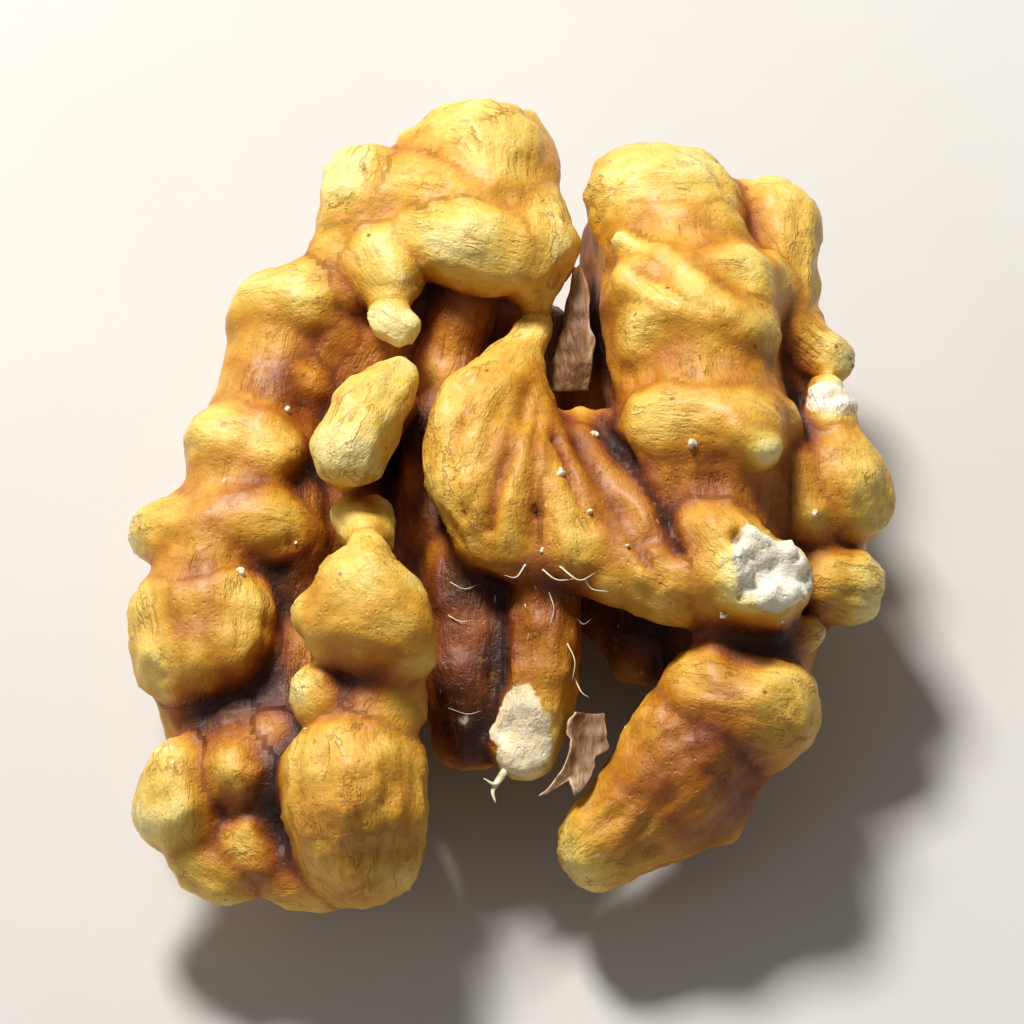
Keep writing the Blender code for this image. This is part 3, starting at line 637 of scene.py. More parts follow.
def creased(p):
    """How deep each place lies in a crease of the bridge: the largest exp(-(gap / width)^2)."""
    flat = (p - (0, 0, 6)) @ LEANING
    deep = np.zeros(len(p))
    for points, width in CREASES:
        line = line_of(points, 0.2)
        box = (flat > line.min(axis=0) - 1) & (flat < line.max(axis=0) + 1)
        near = np.flatnonzero(box.all(axis=1) & (p[:, 2] > BRIDGE_UNDERSIDE))
        gap = length(flat[near, None] - line).min(axis=1)
        deep[near] = np.maximum(deep[near], np.exp(-(gap / width)**2))
    deep *= np.clip((p[:, 2] - BRIDGE_UNDERSIDE) / 0.6, 0, 1)
    return deep * np.clip(0.75 + 0.8 * hills(p / 1.3), 0.2, 1)


fan = creased(vertices)
print("the fan of creases takes up", int((fan > 0.5).sum()), "vertices")

# %% [markdown]
# ## Fine relief in the mesh
#
# What the eye sees as a shape is made as a shape: soft hills some 2 mm across, pleats along the folds and
# small blisters, and on the right toe arcs about one point, like the rings of a shell. They are pushed out
# along the skin's normal, which is the slope of the field.

# %% Push the skin
ARC_MIDDLE = np.array([9.6, -18.4, 4.0])
ARC_PLACE = np.array([5.6, -15.4, 6.6])
ARC_STEP = 0.95
CREASE_DEPTH = 0.34
slopes = [looked_up(part, vertices) for part in np.gradient(blurred(field, 1, 1), CELL)]
normals = np.stack(slopes, axis=1)
normals /= length(normals)[:, None] + 1e-9
pleats = 1 - 2 * np.abs(hills(grain * 1.15))
pleats_fine = 1 - 2 * np.abs(hills(grain * 2.4 + 9.1))
blisters = np.clip(0.45 - pebbles(vertices / 1.15), 0, 1)
arc_way = length(vertices - ARC_MIDDLE)
arcs = np.cos(arc_way * 2 * math.pi / ARC_STEP + 1.5 * hills(vertices / 3.0))
arcs *= np.clip(1.6 - length(vertices - ARC_PLACE) / 2.6, 0, 1)
relief = (0.15 * hills(vertices / 2.1) + (0.09 * pleats + 0.045 * pleats_fine) * strength
          + 0.20 * blisters + 0.10 * hills(vertices / 0.95) + 0.05 * arcs)
relief -= CREASE_DEPTH * fan
# Painted shade: the fan's creases darken the colour through the crease measure.
crease = crease + 0.13 * fan


def near_break(p):
    """How white the flesh is, 0 on skin: in or on the bite and close to the middle of the break."""
    mask = np.zeros(len(p))
    for name, (middle, reach, whiteness) in BREAKS.items():
        on_bite = 1 - np.maximum(bite_distance(p, *BITES[name]), 0) / 0.35
        close = (reach - length(p - middle)) / 0.4
        mask = np.maximum(mask, whiteness * np.clip(np.minimum(on_bite * 2, close), 0, 1))
    middle, reach = WHITE_NUB
    return np.maximum(mask, np.clip((reach - length(p - middle)) / 0.3, 0, 1))


# %% Crumbs on the breaks, relief elsewhere
flesh = near_break(vertices)
crumbs = 0.16 * hills(vertices * 1.1) + 0.08 * hills(vertices * 2.9)
crumbs += 0.7 * np.clip(0.66 - pebbles(vertices / 0.80 + 4.2), 0, 1)
crumbs *= np.clip((vertices[:, 0] - 4) / 2, 0.25, 1)  # the stub broke smoothly, the right lobe did not
push = np.where(flesh > 0.3, crumbs, relief * np.clip(1.2 - depth * 2, 0.3, 1.2))
skin = vertices + normals * push[:, None]
print("relief from", push.min().round(2), "to", push.max().round(2), "mm")

# %% [markdown]
# ## Light and dark places
#
# Some of the kernel's lighter and darker places are the skin's own colour and some are painted: painted
# shade in creases, in gaps between folds, deep in the cleft and under the kernel, and painted highlight on
# the tops of folds. These tones are given as soft balls: a place, a reach and how light or dark it is.

# %% The skin's own light and dark places, painted shade and painted highlight
# Each ball is (x, y, z, reach, how light or dark). The dark balls are painted shade, and the light ones are
# partly painted highlight.
SHADE_AND_TONE_BALLS = [
    (-1.2, 12.2, 12, 5, 0.75), (-2, 8.1, 13, 2, 0.35), (0.7, 13, 12, 1.1, -0.9),
    (-2.2, 6.4, 9.4, 1.7, -2.2), (6.8, 10.9, 12, 3.6, 0.9), (5, 8.4, 12, 1, -0.6),
    (8, 4.8, 13.4, 2.8, 0.8), (11.4, 9.5, 10.6, 2.2, 0.35), (7, 1.8, 12.4, 1.1, -1),
    (9.6, 1.9, 12.2, 1, -0.8), (4.3, 5.9, 9.8, 1.6, -0.8), (8.4, -0.7, 13.2, 1.9, 0.5),
    (10.6, -1.1, 12.6, 1, -0.3), (8.2, -3.3, 12, 1.1, -1.1), (10.6, -3.2, 11.2, 1.2, -1),
    (5, -0.6, 10.4, 1.5, -1.2), (6.6, -5, 11, 1.4, -0.7), (8.2, -6.1, 12, 1.6, -0.5),
    (12.4, 2.9, 10.2, 0.7, -2.6), (13.6, 1.4, 10.8, 0.8, 1.8), (11.6, 0.3, 10.2, 0.9, -1.4),
    (14, -2.2, 10.2, 2.2, 0.1), (14.2, -6.6, 9, 1.6, -0.2), (11, -9.1, 8.6, 1.5, -2.4),
    (9.3, -8.9, 11.6, 0.9, 0.7), (9.4, -12.3, 8, 3, -0.9), (11.2, -11, 9.2, 1.3, 0.9),
    (6, -16.4, 7, 3.8, -1.1), (9, -15.1, 5.6, 2, -0.6), (-6.8, 11.8, 12, 1.6, 0.5),
    (-5, 9.4, 12.4, 2, 0.9), (-5.2, 6.2, 13, 1.4, 0.4), (-10, 6.4, 11.2, 2, 0.5),
    (-9.4, 3, 10.2, 1.6, -1.1), (-11.4, -0.4, 10.8, 1.6, 0.2), (-11.2, -2.3, 9.8, 1, -0.5),
    (-9, -1.4, 9, 1.2, -1.8), (-9.2, -5.5, 8.4, 1.5, -2), (-9.9, -10.7, 8, 1.4, -2.6),
    (-10.2, -14.9, 6.8, 1.2, -2.6), (-13.4, -4.2, 10, 1.7, 0.15), (-13, -6.4, 9.4, 0.8, -1.1),
    (-13.2, -9.2, 9.4, 2.2, -0.1), (-12.4, -11.9, 7, 1.5, -1.9), (-6.2, -1.1, 13.4, 1.8, 0.3),
    (-5.8, -9.1, 13, 1.4, 0.6), (-5.8, -11.3, 11.6, 1.3, -1), (-4.8, -12.9, 10.4, 0.9, 0.6),
    (-6, -13.9, 10.2, 0.8, -0.8), (-6.6, -15.6, 10.6, 1.4, 0.1), (-6.2, -18.5, 9.2, 2.8, -0.8),
    (-14, -15.9, 7.6, 1.5, 0.2), (-10.6, -18.4, 6, 2.4, -0.7), (-3.4, 1.1, 8.8, 1.5, -2.2),
    (-3.4, -2.3, 8.2, 1.5, -2.4), (-2.4, -6.7, 8, 1.9, -3), (-2.2, -10.4, 7.2, 1.9, -3),
    (-2, -12.7, 6, 1.8, -3), (-0.6, -9.3, 7.6, 0.9, -1.4), (1.4, -8.4, 9.2, 1.9, -1.5),
    (1.6, -11.3, 8.2, 1.6, -1.3), (-11.2, 3.5, 9.6, 1.3, -0.4), (4.6, -7.5, 6, 2.6, -3.4),
    (-1.4, -2.2, 12.6, 2, -0.1), (1.4, -6.5, 10.4, 1.2, -0.5), (0.9, -4.1, 11.8, 0.6, -0.6),
    (3.4, 7.6, 7, 2.6, -2.4), (3, 13.2, 7.6, 2, -1.6), (0, 7.5, -6, 9, -0.3),
]


def shade_and_tone_of(p):
    """Sum over the balls of tone * e^-(distance / reach)^2."""
    total = np.zeros(len(p))
    for x, y, z, reach, tone in SHADE_AND_TONE_BALLS:
        total += tone * np.exp(-np.sum((p - (x, y, z))**2, axis=1) / reach**2)
    return total


tone = shade_and_tone_of(vertices)
print("tone from", tone.min().round(2), "to", tone.max().round(2))

# %% [markdown]
# ## The kernel as a mesh
#
# The skin goes where the CAD kernel lies: middle on middle in x and y, and its lowest point at the same
# height. The measured values ride along as attributes of the mesh, so the material can read them.

# %% Make the mesh
cad_low, cad_high = (np.array(corner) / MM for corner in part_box("kernel"))
low, high = skin.min(0), skin.max(0)
shift = (cad_low + cad_high - low - high) / 2
shift[2] = cad_low[2] - low[2]


def closed_mesh(name, points, faces, attributes=None):
    """A smooth shaded mesh in metres, with one number or vector per vertex for each attribute."""
    mesh = bpy.data.meshes.new(name)
    mesh.from_pydata(((points + shift) * MM).tolist(), [], faces)
    for label, values in (attributes or {}).items():
        kind = "FLOAT_VECTOR" if values.ndim == 2 else "FLOAT"
        field_name = "vector" if values.ndim == 2 else "value"
        mesh.attributes.new(label, kind, "POINT").data.foreach_set(field_name, values.ravel())
    mesh.shade_smooth()
    return mesh


def piece(name, mesh, material):
    """A finished piece: rides on the only body and takes the material it is given."""
    thing = bpy.data.objects.new(name, mesh)
    bpy.context.scene.collection.objects.link(thing)
    mesh.materials.append(material)
    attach(thing, "root")
    return thing


kernel_mesh = closed_mesh("kernel_skin", skin, quads.tolist(), {
    "crease": crease, "depth": depth, "tone": tone, "flesh": flesh, "grain": grain,
    "strength": strength})
print("shift onto the CAD kernel in mm:", shift.round(2))

# %% [markdown]
# ## Writing materials as sums
#
# A material is a graph of nodes, which is long-winded to wire by hand. This small class wraps a socket so
# that ordinary Python sums add the Math nodes, and one method adds any other node.

# %% A socket that can be added and multiplied
class Socket:
    """One output of a node. Sums with numbers or other sockets add Math nodes to the same material."""

    def __init__(self, tree, output=None):
        self.tree = tree
        self.output = output

    def add(self, kind, settings=None, values=None, output=0):
        """Adds a node: its settings first (stops are a ramp's colours), then its sockets' values."""
        node = self.tree.nodes.new(kind)
        for name, setting in (settings or {}).items():
            if name != "stops":
                setattr(node, name, setting)
                continue
            elements = node.color_ramp.elements
            while len(elements) < len(setting):
                elements.new(1.0)
            for element, (place, colour) in zip(elements, setting):
                element.position = place
                element.color = (*colour, 1.0)
        self.fill(node, values or {})
        return Socket(self.tree, node.outputs[output])

    def fill(self, node, values):
        """Links each Socket to the node's socket of that name, and sets plain values on it."""
        for name, value in values.items():
            if isinstance(value, Socket):
                self.tree.links.new(value.output, node.inputs[name])
            else:
                node.inputs[name].default_value = value

    def sum(self, operation, first, second):
        """One Math node."""
        return self.add("ShaderNodeMath", {"operation": operation}, {0: first, 1: second})

    def __add__(self, other):
        return self.sum("ADD", self, other)

    def __sub__(self, other):
        return self.sum("SUBTRACT", self, other)

    def __rsub__(self, other):
        return self.sum("SUBTRACT", other, self)

    def __mul__(self, other):
        return self.sum("MULTIPLY", self, other)

    def __pow__(self, other):
        return self.sum("POWER", self, other)

    __radd__ = __add__
    __rmul__ = __mul__

    def ramp(self, start, end):
        """0 at start, 1 at end, held there outside. Start may be above end."""
        return self.add("ShaderNodeMapRange", {"interpolation_type": "SMOOTHSTEP"},
                        {"Value": self, "From Min": start, "From Max": end})

    def noise(self, scale, detail=3.0, rough=0.55):
        """Noise from 0 to 1 read at this vector."""
        return self.add("ShaderNodeTexNoise", None,
                        {"Vector": self, "Scale": scale, "Detail": detail, "Roughness": rough})

    def mixed(self, colour, factor):
        """This colour, turned into another by a factor."""
        return self.add("ShaderNodeMix", {"data_type": "RGBA"},
                        {0: factor, 6: self, 7: colour}, output=2)


def new_material(name):
    """An empty material, its Principled shader and a Socket to write its sums with."""
    material = bpy.data.materials.new(name)
    material.use_nodes = True
    return material, material.node_tree.nodes["Principled BSDF"], Socket(material.node_tree)


def attribute(start, name, output=2):
    """A number (output 2) or a vector (output 1) stored on the mesh."""
    return start.add("ShaderNodeAttribute", {"attribute_name": name}, output=output)


def millimetres(start):
    """The place on the object in millimetres, from its Object coordinates."""
    place = start.add("ShaderNodeTexCoord", output=3)
    return start.add("ShaderNodeVectorMath", {"operation": "SCALE"}, {0: place, 3: 1 / MM})


print("materials are written with", Socket.__name__)

# %% [markdown]
# ## The skin of the seed
#
# The skin is a thin waxy film. Its colour is one ramp from red brown to cream, read at a sum of crease,
# depth, the light and dark balls and a little noise. The darkening in creases and deep in the cleft is
# painted shade, and the paler crests are partly the skin's own colour and partly painted highlight. Over
# it go the things that make it a walnut: dark hair-fine veins along the grain, brown dots, a few pale
# scuffs and bare ivory flesh.

# %% The kernel's material
material, shader, start = new_material("kernel_skin")
place = millimetres(start)
along = attribute(start, "grain", 1)
broken = attribute(start, "flesh")
strong = attribute(start, "strength")
crease_s, depth_s, shade_and_tone_s = (attribute(start, name) for name in ("crease", "depth", "tone"))

clouds = place.noise(0.45, 4.0)
mottle = place.noise(2.2, 5.0, 0.65)
streaks = (along.noise(1.6, 4.0, 0.6) - 0.5) * strong
# Painted shade: crease, depth and (1 - strong), the line where two folds meet, darken the colour. The same
# crease term lightens the crests, which is partly painted highlight.
light = (0.58 + 0.19 * shade_and_tone_s - 1.8 * crease_s - 0.3 * depth_s
         + 0.40 * (clouds - 0.5) + 0.20 * (mottle - 0.5) + 0.24 * streaks
         - 0.16 * (1 - strong)**2)
# The darkest stops colour the painted shade deep in the creases and the cleft.
SKIN_RAMP = [
    (0.00, (0.032, 0.006, 0.002)), (0.17, (0.105, 0.020, 0.003)), (0.34, (0.280, 0.068, 0.004)),
    (0.50, (0.490, 0.176, 0.009)), (0.66, (0.680, 0.340, 0.028)), (0.83, (0.830, 0.560, 0.105)),
    (1.00, (0.920, 0.780, 0.330)),
]
colour = start.add("ShaderNodeValToRGB", {"stops": SKIN_RAMP}, {0: light})
print("skin ramp has", len(SKIN_RAMP), "stops")

# %% Veins, dots, scuffs and bare flesh
vein_noise = along.noise(1.1, 5.0, 0.6)
vein_gap = start.sum("ABSOLUTE", vein_noise - 0.5, 0.0)
veins = vein_gap.ramp(0.030, 0.002) * place.noise(0.5).ramp(0.40, 0.66) * strong
colour = colour.mixed((0.42, 0.15, 0.014, 1), veins * 0.5)

dots = start.add("ShaderNodeTexVoronoi", None, {"Vector": place, "Scale": 0.75, "Randomness": 1.0})
dots = dots.ramp(0.11, 0.05) * place.noise(0.8).ramp(0.5, 0.56)
colour = colour.mixed((0.17, 0.045, 0.008, 1), dots * 0.8)

scuffs = start.add("ShaderNodeTexVoronoi", None, {"Vector": along, "Scale": 1.3, "Randomness": 1.0})
scuffs = scuffs.ramp(0.09, 0.04) * place.noise(0.9, 2.0).ramp(0.56, 0.62)
colour = colour.mixed((0.86, 0.74, 0.48, 1), scuffs * 0.8)

flesh_tint = 0.5 * place.noise(1.5, 4.0).ramp(0.35, 0.7) + 0.5 * broken.ramp(0.90, 0.75)
flesh_colour = start.add("ShaderNodeMix", {"data_type": "RGBA"},
                         {0: flesh_tint, 6: (1.0, 0.95, 0.82, 1), 7: (0.93, 0.76, 0.42, 1)}, output=2)
colour = colour.mixed(flesh_colour, broken.ramp(0.2, 0.55))
print(len(material.node_tree.nodes), "nodes so far")

# %% Gloss and fine bump
wet = crease_s.ramp(0.10, -0.06)
rough = 0.56 - 0.12 * wet + 0.45 * (mottle - 0.5) + 0.25 * broken
fine = (along.noise(4.5, 5.0, 0.65) - 0.5) * strong
pits = start.add("ShaderNodeTexVoronoi", None, {"Vector": place, "Scale": 3.2})
height = 0.50 * streaks + 0.36 * fine + 0.40 * mottle - 0.25 * veins - 0.10 * pits.ramp(0.3, 0.05)
bump = start.add("ShaderNodeBump", None, {"Strength": 0.9, "Distance": 0.26 * MM, "Height": height})
start.fill(shader, {
    "Base Color": colour, "Roughness": rough, "Coat Weight": 0.12 * wet, "Normal": bump,
    "Subsurface Weight": 0.10, "Subsurface Radius": (1.0, 0.45, 0.15), "Subsurface Scale": 0.6 * MM,
    "Coat Roughness": 0.30, "Specular IOR Level": 0.45})
kernel = piece("kernel_look", kernel_mesh, material)
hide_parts("kernel")
print(len(kernel_mesh.vertices), "vertices in the kernel")

# %% [markdown]
# ## The torn partition
#
# Between the two halves of a walnut stands a papery sheet. Scraps of it stay in the cleft: a pointed one
# near the tip and a forked one by the stub. Each is a thin sheet between two edges, torn ragged at its
# sides, curled across and given a thickness.

# %% Thin sheets between two edges
SHEET = 0.22
SHEETS = {
    "septum_tip": ([(1.5, 3.5, 8.4), (1.9, 5.1, 9.2), (2.3, 6.9, 10), (2.9, 8.6, 10.6)],
        [(3.3, 3.3, 9), (3.5, 4.6, 10), (3.4, 6.6, 10.6), (3.1, 8.6, 10.8)],
        0.25, 0.1, 0.02),
    "septum_foot": ([(2.7, -11.8, 7.5), (2.4, -13, 7.1), (2, -14.2, 6.9), (1.1, -15.6, 6.6)],
        [(3.8, -11.7, 7.1), (3.9, -12.8, 6.9), (3.5, -14.1, 6.7), (2.6, -15.3, 6.4)],
        0.2, 0.28, 0.24),
}


def hills_at(x, y, z):
    """The soft hills along a line or over a grid of numbers."""
    return hills(np.stack(np.broadcast_arrays(x, y, z), -1).reshape(-1, 3)).reshape(np.shape(x))


def sheet_mesh(left, right, curl, ragged, fork, columns=17, rows=71):
    """A sheet between two Catmull-Rom edges with a wall of SHEET on both sides.

    At u across and v along: left(w) + (right(w) - left(w)) * u with w = v * (1 - fork * (1 - |2u - 1|)),
    raised by curl * 4u(1 - u) and by soft crumples, with u drawn in at both edges by noise, so they look
    torn.
    """
    u, v = np.meshgrid(np.linspace(0, 1, columns), np.linspace(0, 1, rows))
    w = v * (1 - fork * (1 - np.abs(2 * u - 1))) * (1 - 0.07 * np.abs(hills_at(u * 4, 2.2, fork * 9)))
    edges = []
    for points in (left, right):
        line = line_of(points, 0.25)
        step = np.linspace(0, 1, len(line))
        edges.append(np.stack([np.interp(w, step, column) for column in line.T], axis=-1))
    tear = ragged * np.where(u > 0.5, -hills_at(v * 8, 3.3, 1.7), hills_at(v * 9, 5.1, 6.4))
    across = u + tear * np.abs(2 * u - 1)
    middle = edges[0] + (edges[1] - edges[0]) * across[..., None]
    normal = np.cross(edges[1] - edges[0], np.gradient(middle, axis=0))
    normal /= length(normal)[..., None] + 1e-9
    flat = middle.reshape(-1, 3)
    crumple = (0.16 * hills(flat * 0.9 + 4.4) + 0.07 * hills(flat * 2.3)).reshape(rows, columns)
    middle = middle + normal * (curl * 4 * u * (1 - u) + crumple)[..., None]
    fade = SHEET * np.sqrt(np.clip(1 - (2 * u - 1)**6, 0.05, 1))
    sides = [middle + normal * (sign * fade / 2)[..., None] for sign in (1, -1)]
    points = np.vstack([side.reshape(-1, 3) for side in sides])
    index = np.arange(rows * columns).reshape(rows, columns)
    top = np.stack([index[:-1, :-1], index[:-1, 1:], index[1:, 1:], index[1:, :-1]], -1).reshape(-1, 4)
    rim = np.concatenate([index[0], index[1:, -1], index[-1, -2::-1], index[-2:0:-1, 0]])
    after = np.roll(rim, -1)
    wall = np.stack([after, rim, rim + rows * columns, after + rows * columns], -1)
    faces = np.vstack([top, top[:, ::-1] + rows * columns, wall])
    edge = (np.maximum(np.abs(2 * u - 1), v)**8).ravel()
    return points, faces, np.tile(edge, 2)


def outward(mesh):
    """Turns all faces outwards."""
    work = bmesh.new()
    work.from_mesh(mesh)
    bmesh.ops.recalc_face_normals(work, faces=work.faces)
    work.to_mesh(mesh)
    work.free()


print("each sheet is", SHEET, "mm thick")

# %% Paper
paper, shader, start = new_material("septum_paper")
place = millimetres(start)
fibres = start.add("ShaderNodeMapping", None, {"Vector": place, "Scale": (3.2, 0.5, 3.2)}).noise(1.4, 5.0)
stain = place.noise(0.7, 3.0)
pale = 0.42 + 1.1 * (fibres - 0.5) + 0.7 * (stain - 0.5) + 0.55 * attribute(start, "edge")
PAPER_RAMP = [(0.0, (0.060, 0.022, 0.008)), (0.35, (0.190, 0.085, 0.030)),
              (0.65, (0.380, 0.220, 0.105)), (1.0, (0.780, 0.640, 0.440))]
colour = start.add("ShaderNodeValToRGB", {"stops": PAPER_RAMP}, {0: pale})
bump = start.add("ShaderNodeBump", None, {"Strength": 0.9, "Distance": 0.12 * MM, "Height": fibres})
start.fill(shader, {"Base Color": colour, "Roughness": 0.5 + 0.5 * (stain - 0.4), "Normal": bump,
                    "Subsurface Weight": 0.2, "Subsurface Scale": 0.4 * MM})
print("paper ramp has", len(PAPER_RAMP), "stops")

# %% Put the scraps in place
for name, (left, right, curl, ragged, fork) in SHEETS.items():
    points, faces, edge = sheet_mesh(left, right, curl, ragged, fork)
    mesh = closed_mesh(name + "_sheet", points, faces.tolist(), {"edge": edge})
    outward(mesh)
    sheet = piece(name + "_look", mesh, paper)
    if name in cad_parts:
        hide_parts(name)
print(len(SHEETS), "scraps of partition")

# %% [markdown]
# ## Fibres and crumbs
#
# Where the bridge tore, short pale fibres curl out of the skin, and cracking the nut left a few white
# crumbs of flesh stuck on it. A fibre is a ring carried along a path, thick at its root and pointed at
# its end. A crumb is a small ball pushed out and in by noise.

# %% Fibres along short paths
FIBRES = [
    ([(-0.6, -14.5, 6.6), (-1, -15.2, 6.7), (-1.5, -15.1, 7)], 0.17),
    ([(-0.8, -14.5, 6.6), (-1.3, -15.4, 6.6), (-1.2, -16, 6.5)], 0.17),
    ([(2.6, -8, 8.6), (2.9, -8.5, 8.9), (3.2, -8.5, 9.3)], 0.0432),
    ([(2.6, -10.2, 7.6), (2.9, -11.1, 7.9), (3.2, -11.4, 8)], 0.0432),
    ([(2.2, -9.2, 8.6), (2.5, -10.1, 8.7), (2.4, -10.9, 8.5)], 0.036),
    ([(0.4, -7.7, 9.6), (0.6, -8.4, 9.5), (0.5, -9.3, 9.3)], 0.0432),
    ([(1.6, -7.4, 9.9), (1.8, -8.1, 9.7), (1.6, -8.8, 9.5)], 0.036),
    ([(1.3, -6.7, 10.8), (1.9, -7.2, 10.8), (2.7, -7.1, 10.7)], 0.0504),
    ([(2.2, -6.5, 10.8), (3, -7.1, 10.7), (3.7, -6.8, 10.8)], 0.0576),
    ([(3, -6.9, 10.6), (3.3, -7.3, 10.4), (4, -7.5, 10.5)], 0.0432),
    ([(0.6, -6.5, 10.8), (0.2, -7, 10.6), (-0.3, -6.9, 10.6)], 0.0432),
    ([(-2.8, -7.8, 8.6), (-2.3, -8.2, 8.8), (-1.7, -8.2, 8.9)], 0.0288),
    ([(-2.9, -9.7, 8), (-2.2, -9.6, 8.2), (-1.6, -10, 8.2)], 0.0288),
    ([(-2.8, -11.4, 7.2), (-2, -11.8, 7.4), (-1.4, -11.7, 7.5)], 0.0288),
    ([(-2.6, -6.4, 9), (-2, -6.8, 9.1), (-1.3, -6.6, 9.2)], 0.0288),
]
CRUMBS = [
    (-9.1, 1.6, 10.6), (-11.4, -6.4, 9.6), (-9, -4.8, 9.6), (3.7, -0.1, 11), (3.2, -4.7, 12.4),
    (1, -6.3, 12), (7.6, -2.4, 13.6), (-8.6, -13.6, 9.6), (12.9, -3.9, 10.4), (8.7, -9.8, 10.8),
    (11.6, -9.6, 10.6), (2.2, -2.9, 12.2), (4.9, -6, 12),
]
RING = 6


def fibre(points, radius):
    """Rings of RING points round a Catmull-Rom path, with radius * (1 - t)^0.6, closed at both ends."""
    path = line_of(points, 0.12)
    run = np.gradient(path, axis=0)
    run /= length(run)[:, None]
    side = np.cross(run, (0.3, 0.2, 0.93))
    side /= length(side)[:, None]
    up = np.cross(run, side)
    t = np.linspace(0, 0.97, len(path))[:, None, None]
    angle = (np.arange(RING) * 2 * math.pi / RING)[None, :, None]
    rings = path[:, None] + radius * (1 - t)**0.6 * (
        np.cos(angle) * side[:, None] + 0.6 * np.sin(angle) * up[:, None])
    index = np.arange(len(path) * RING).reshape(len(path), RING)
    after = np.roll(index, -1, axis=1)
    walls = np.stack([index[:-1], after[:-1], after[1:], index[1:]], -1).reshape(-1, 4).tolist()
    return rings.reshape(-1, 3), walls + [index[0, ::-1].tolist(), index[-1].tolist()]


print(len(fibre(*FIBRES[0])[0]), "vertices in the first fibre")


# %% One crumb
ROUND, BANDS = 10, 8


def crumb(centre, size, seed):
    """A ball of ROUND by BANDS squares with radius size * (1 + 0.6 * noise), with a point at each pole."""
    turn = np.arange(ROUND) * 2 * math.pi / ROUND
    tilt = np.arange(1, BANDS) * math.pi / BANDS
    ball = np.stack([np.outer(np.sin(tilt), np.cos(turn)), np.outer(np.sin(tilt), np.sin(turn)),
                     np.outer(np.cos(tilt), np.ones(ROUND))], -1).reshape(-1, 3)
    pole = len(ball)
    ball = np.vstack([ball, (0, 0, 1), (0, 0, -1)])
    ball *= size * (1 + 0.6 * hills(ball * 1.6 + seed)[:, None])
    index = np.arange(pole).reshape(BANDS - 1, ROUND)
    after = np.roll(index, -1, axis=1)
    walls = np.stack([index[:-1], index[1:], after[1:], after[:-1]], -1).reshape(-1, 4).tolist()
    caps = [[pole, int(a), int(b)] for a, b in zip(index[0], after[0])]
    caps += [[pole + 1, int(b), int(a)] for a, b in zip(index[-1], after[-1])]
    return ball + centre, walls + caps


def together(shapes):
    """One list of vertices and one of faces for several shapes."""
    points, faces, count = [], [], 0
    for own, own_faces in shapes:
        points.append(own)
        faces += [[v + count for v in face] for face in own_faces]
        count += len(own)
    return np.vstack(points), faces


def nearest_skin(p):
    """The vertex of the skin nearest to a place, which puts small things on the surface."""
    return skin[length(skin - p).argmin()]


# %% Put them on the skin
shapes = []
for points, radius in FIBRES:
    points = np.array(points)
    points += nearest_skin(points[0]) - points[0]
    shapes.append(fibre(points, radius))
for number, place in enumerate(CRUMBS):
    shapes.append(crumb(nearest_skin(np.array(place)), 0.13 + 0.06 * math.sin(number * 2.4), number * 3.1))

print(len(shapes), "small shapes")

# %% Torn flesh
fibre_skin, shader, start = new_material("torn_flesh")
place = millimetres(start)
colour = start.add("ShaderNodeValToRGB", {"stops": [(0.3, (0.62, 0.40, 0.16)), (0.5, (0.90, 0.80, 0.56)),
                                                    (0.7, (0.96, 0.92, 0.78))]},
                   {0: place.noise(1.8, 4.0)})
start.fill(shader, {"Base Color": colour, "Roughness": 0.6,
                    "Subsurface Weight": 0.2, "Subsurface Scale": 0.4 * MM})
points, faces = together(shapes)
mesh = closed_mesh("fibres", points, faces)
outward(mesh)
piece("torn_fibres", mesh, fibre_skin)
print(len(FIBRES), "fibres and", len(CRUMBS), "crumbs")

# %% [markdown]
# ## Floor, light and camera
#
# A plain pale floor catches the shadow. One large soft light stands behind and above, so every fold has
# a bright top and a warm, darker side towards the viewer, and a weak one fills in from the left. A long
# lens looks down at 58 degrees along +y, with no tilt.

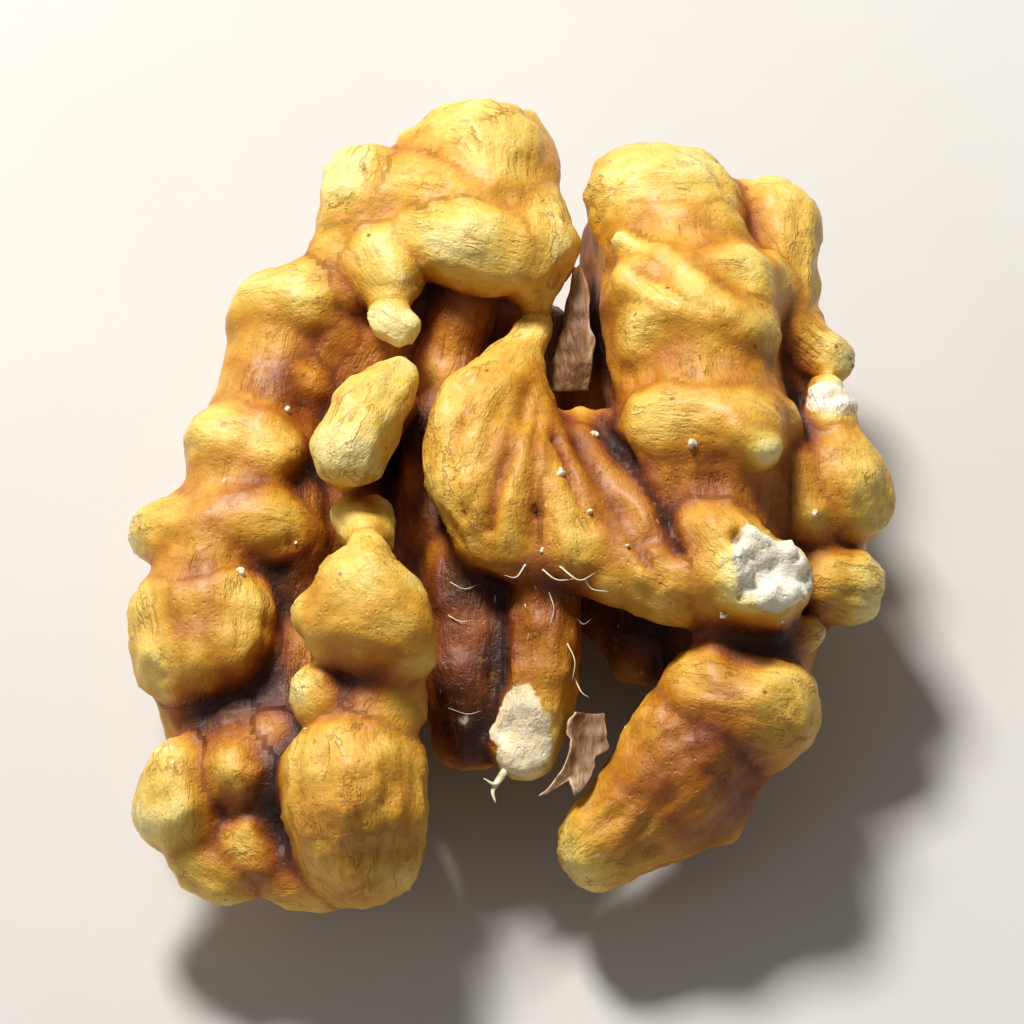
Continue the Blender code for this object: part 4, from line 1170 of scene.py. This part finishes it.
# %% Set the stage
def floor_material():
    """Pale matt card with the faintest clouding."""
    material, shader, start = new_material("floor_card")
    place = start.add("ShaderNodeTexCoord", output=3)
    colour = start.add("ShaderNodeValToRGB",
                       {"stops": [(0.3, (0.60, 0.59, 0.57)), (0.7, (0.64, 0.63, 0.61))]},
                       {0: place.noise(30.0)})
    start.fill(shader, {"Base Color": colour, "Roughness": 0.85})
    return material


FLOOR_HALF = 0.6
floor_mesh = bpy.data.meshes.new("floor")
floor_mesh.from_pydata([(x * FLOOR_HALF, y * FLOOR_HALF, 0) for x, y in ((-1, -1), (1, -1), (1, 1), (-1, 1))],
                       [], [(0, 1, 2, 3)])
floor_mesh.materials.append(floor_material())
floor = bpy.data.objects.new("floor", floor_mesh)
bpy.context.scene.collection.objects.link(floor)

middle = (Vector(cad_box[0]) + Vector(cad_box[1])) / 2


def aimed(name, data, position, target):
    """Places a light or a camera so that it looks at the target."""
    thing = bpy.data.objects.new(name, data)
    thing.location = position
    thing.rotation_euler = (target - position).to_track_quat("-Z", "Y").to_euler()
    bpy.context.scene.collection.objects.link(thing)
    return thing


def soft_light(name, position, watts, size, colour):
    """A square area light that looks at the kernel."""
    light = bpy.data.lights.new(name, "AREA")
    light.energy = watts
    light.size = size
    light.color = colour
    aimed(name, light, middle + Vector(position), middle)


soft_light("key", (-0.08, 0.17, 0.26), 1.52, 0.07, (1.0, 0.97, 0.92))
soft_light("fill", (-0.25, -0.12, 0.14), 0.10, 0.25, (1.0, 0.95, 0.88))
world = bpy.data.worlds.new("room")
world.use_nodes = True
world.node_tree.nodes["Background"].inputs["Color"].default_value = (1.0, 0.98, 0.95, 1)
world.node_tree.nodes["Background"].inputs["Strength"].default_value = 0.17
bpy.context.scene.world = world
bpy.context.scene.view_settings.view_transform = "Standard"

ELEVATION = math.radians(58)
DISTANCE = 0.25
camera_data = bpy.data.cameras.new("camera")
camera_data.lens = 205
camera_data.clip_start = 0.01
toward = Vector((0, -math.cos(ELEVATION), math.sin(ELEVATION)))
target = middle + Vector((0, 0, 0.5 * MM))
bpy.context.scene.camera = aimed("camera", camera_data, target + toward * DISTANCE, target)
print("camera at", [round(v, 3) for v in bpy.context.scene.camera.location])
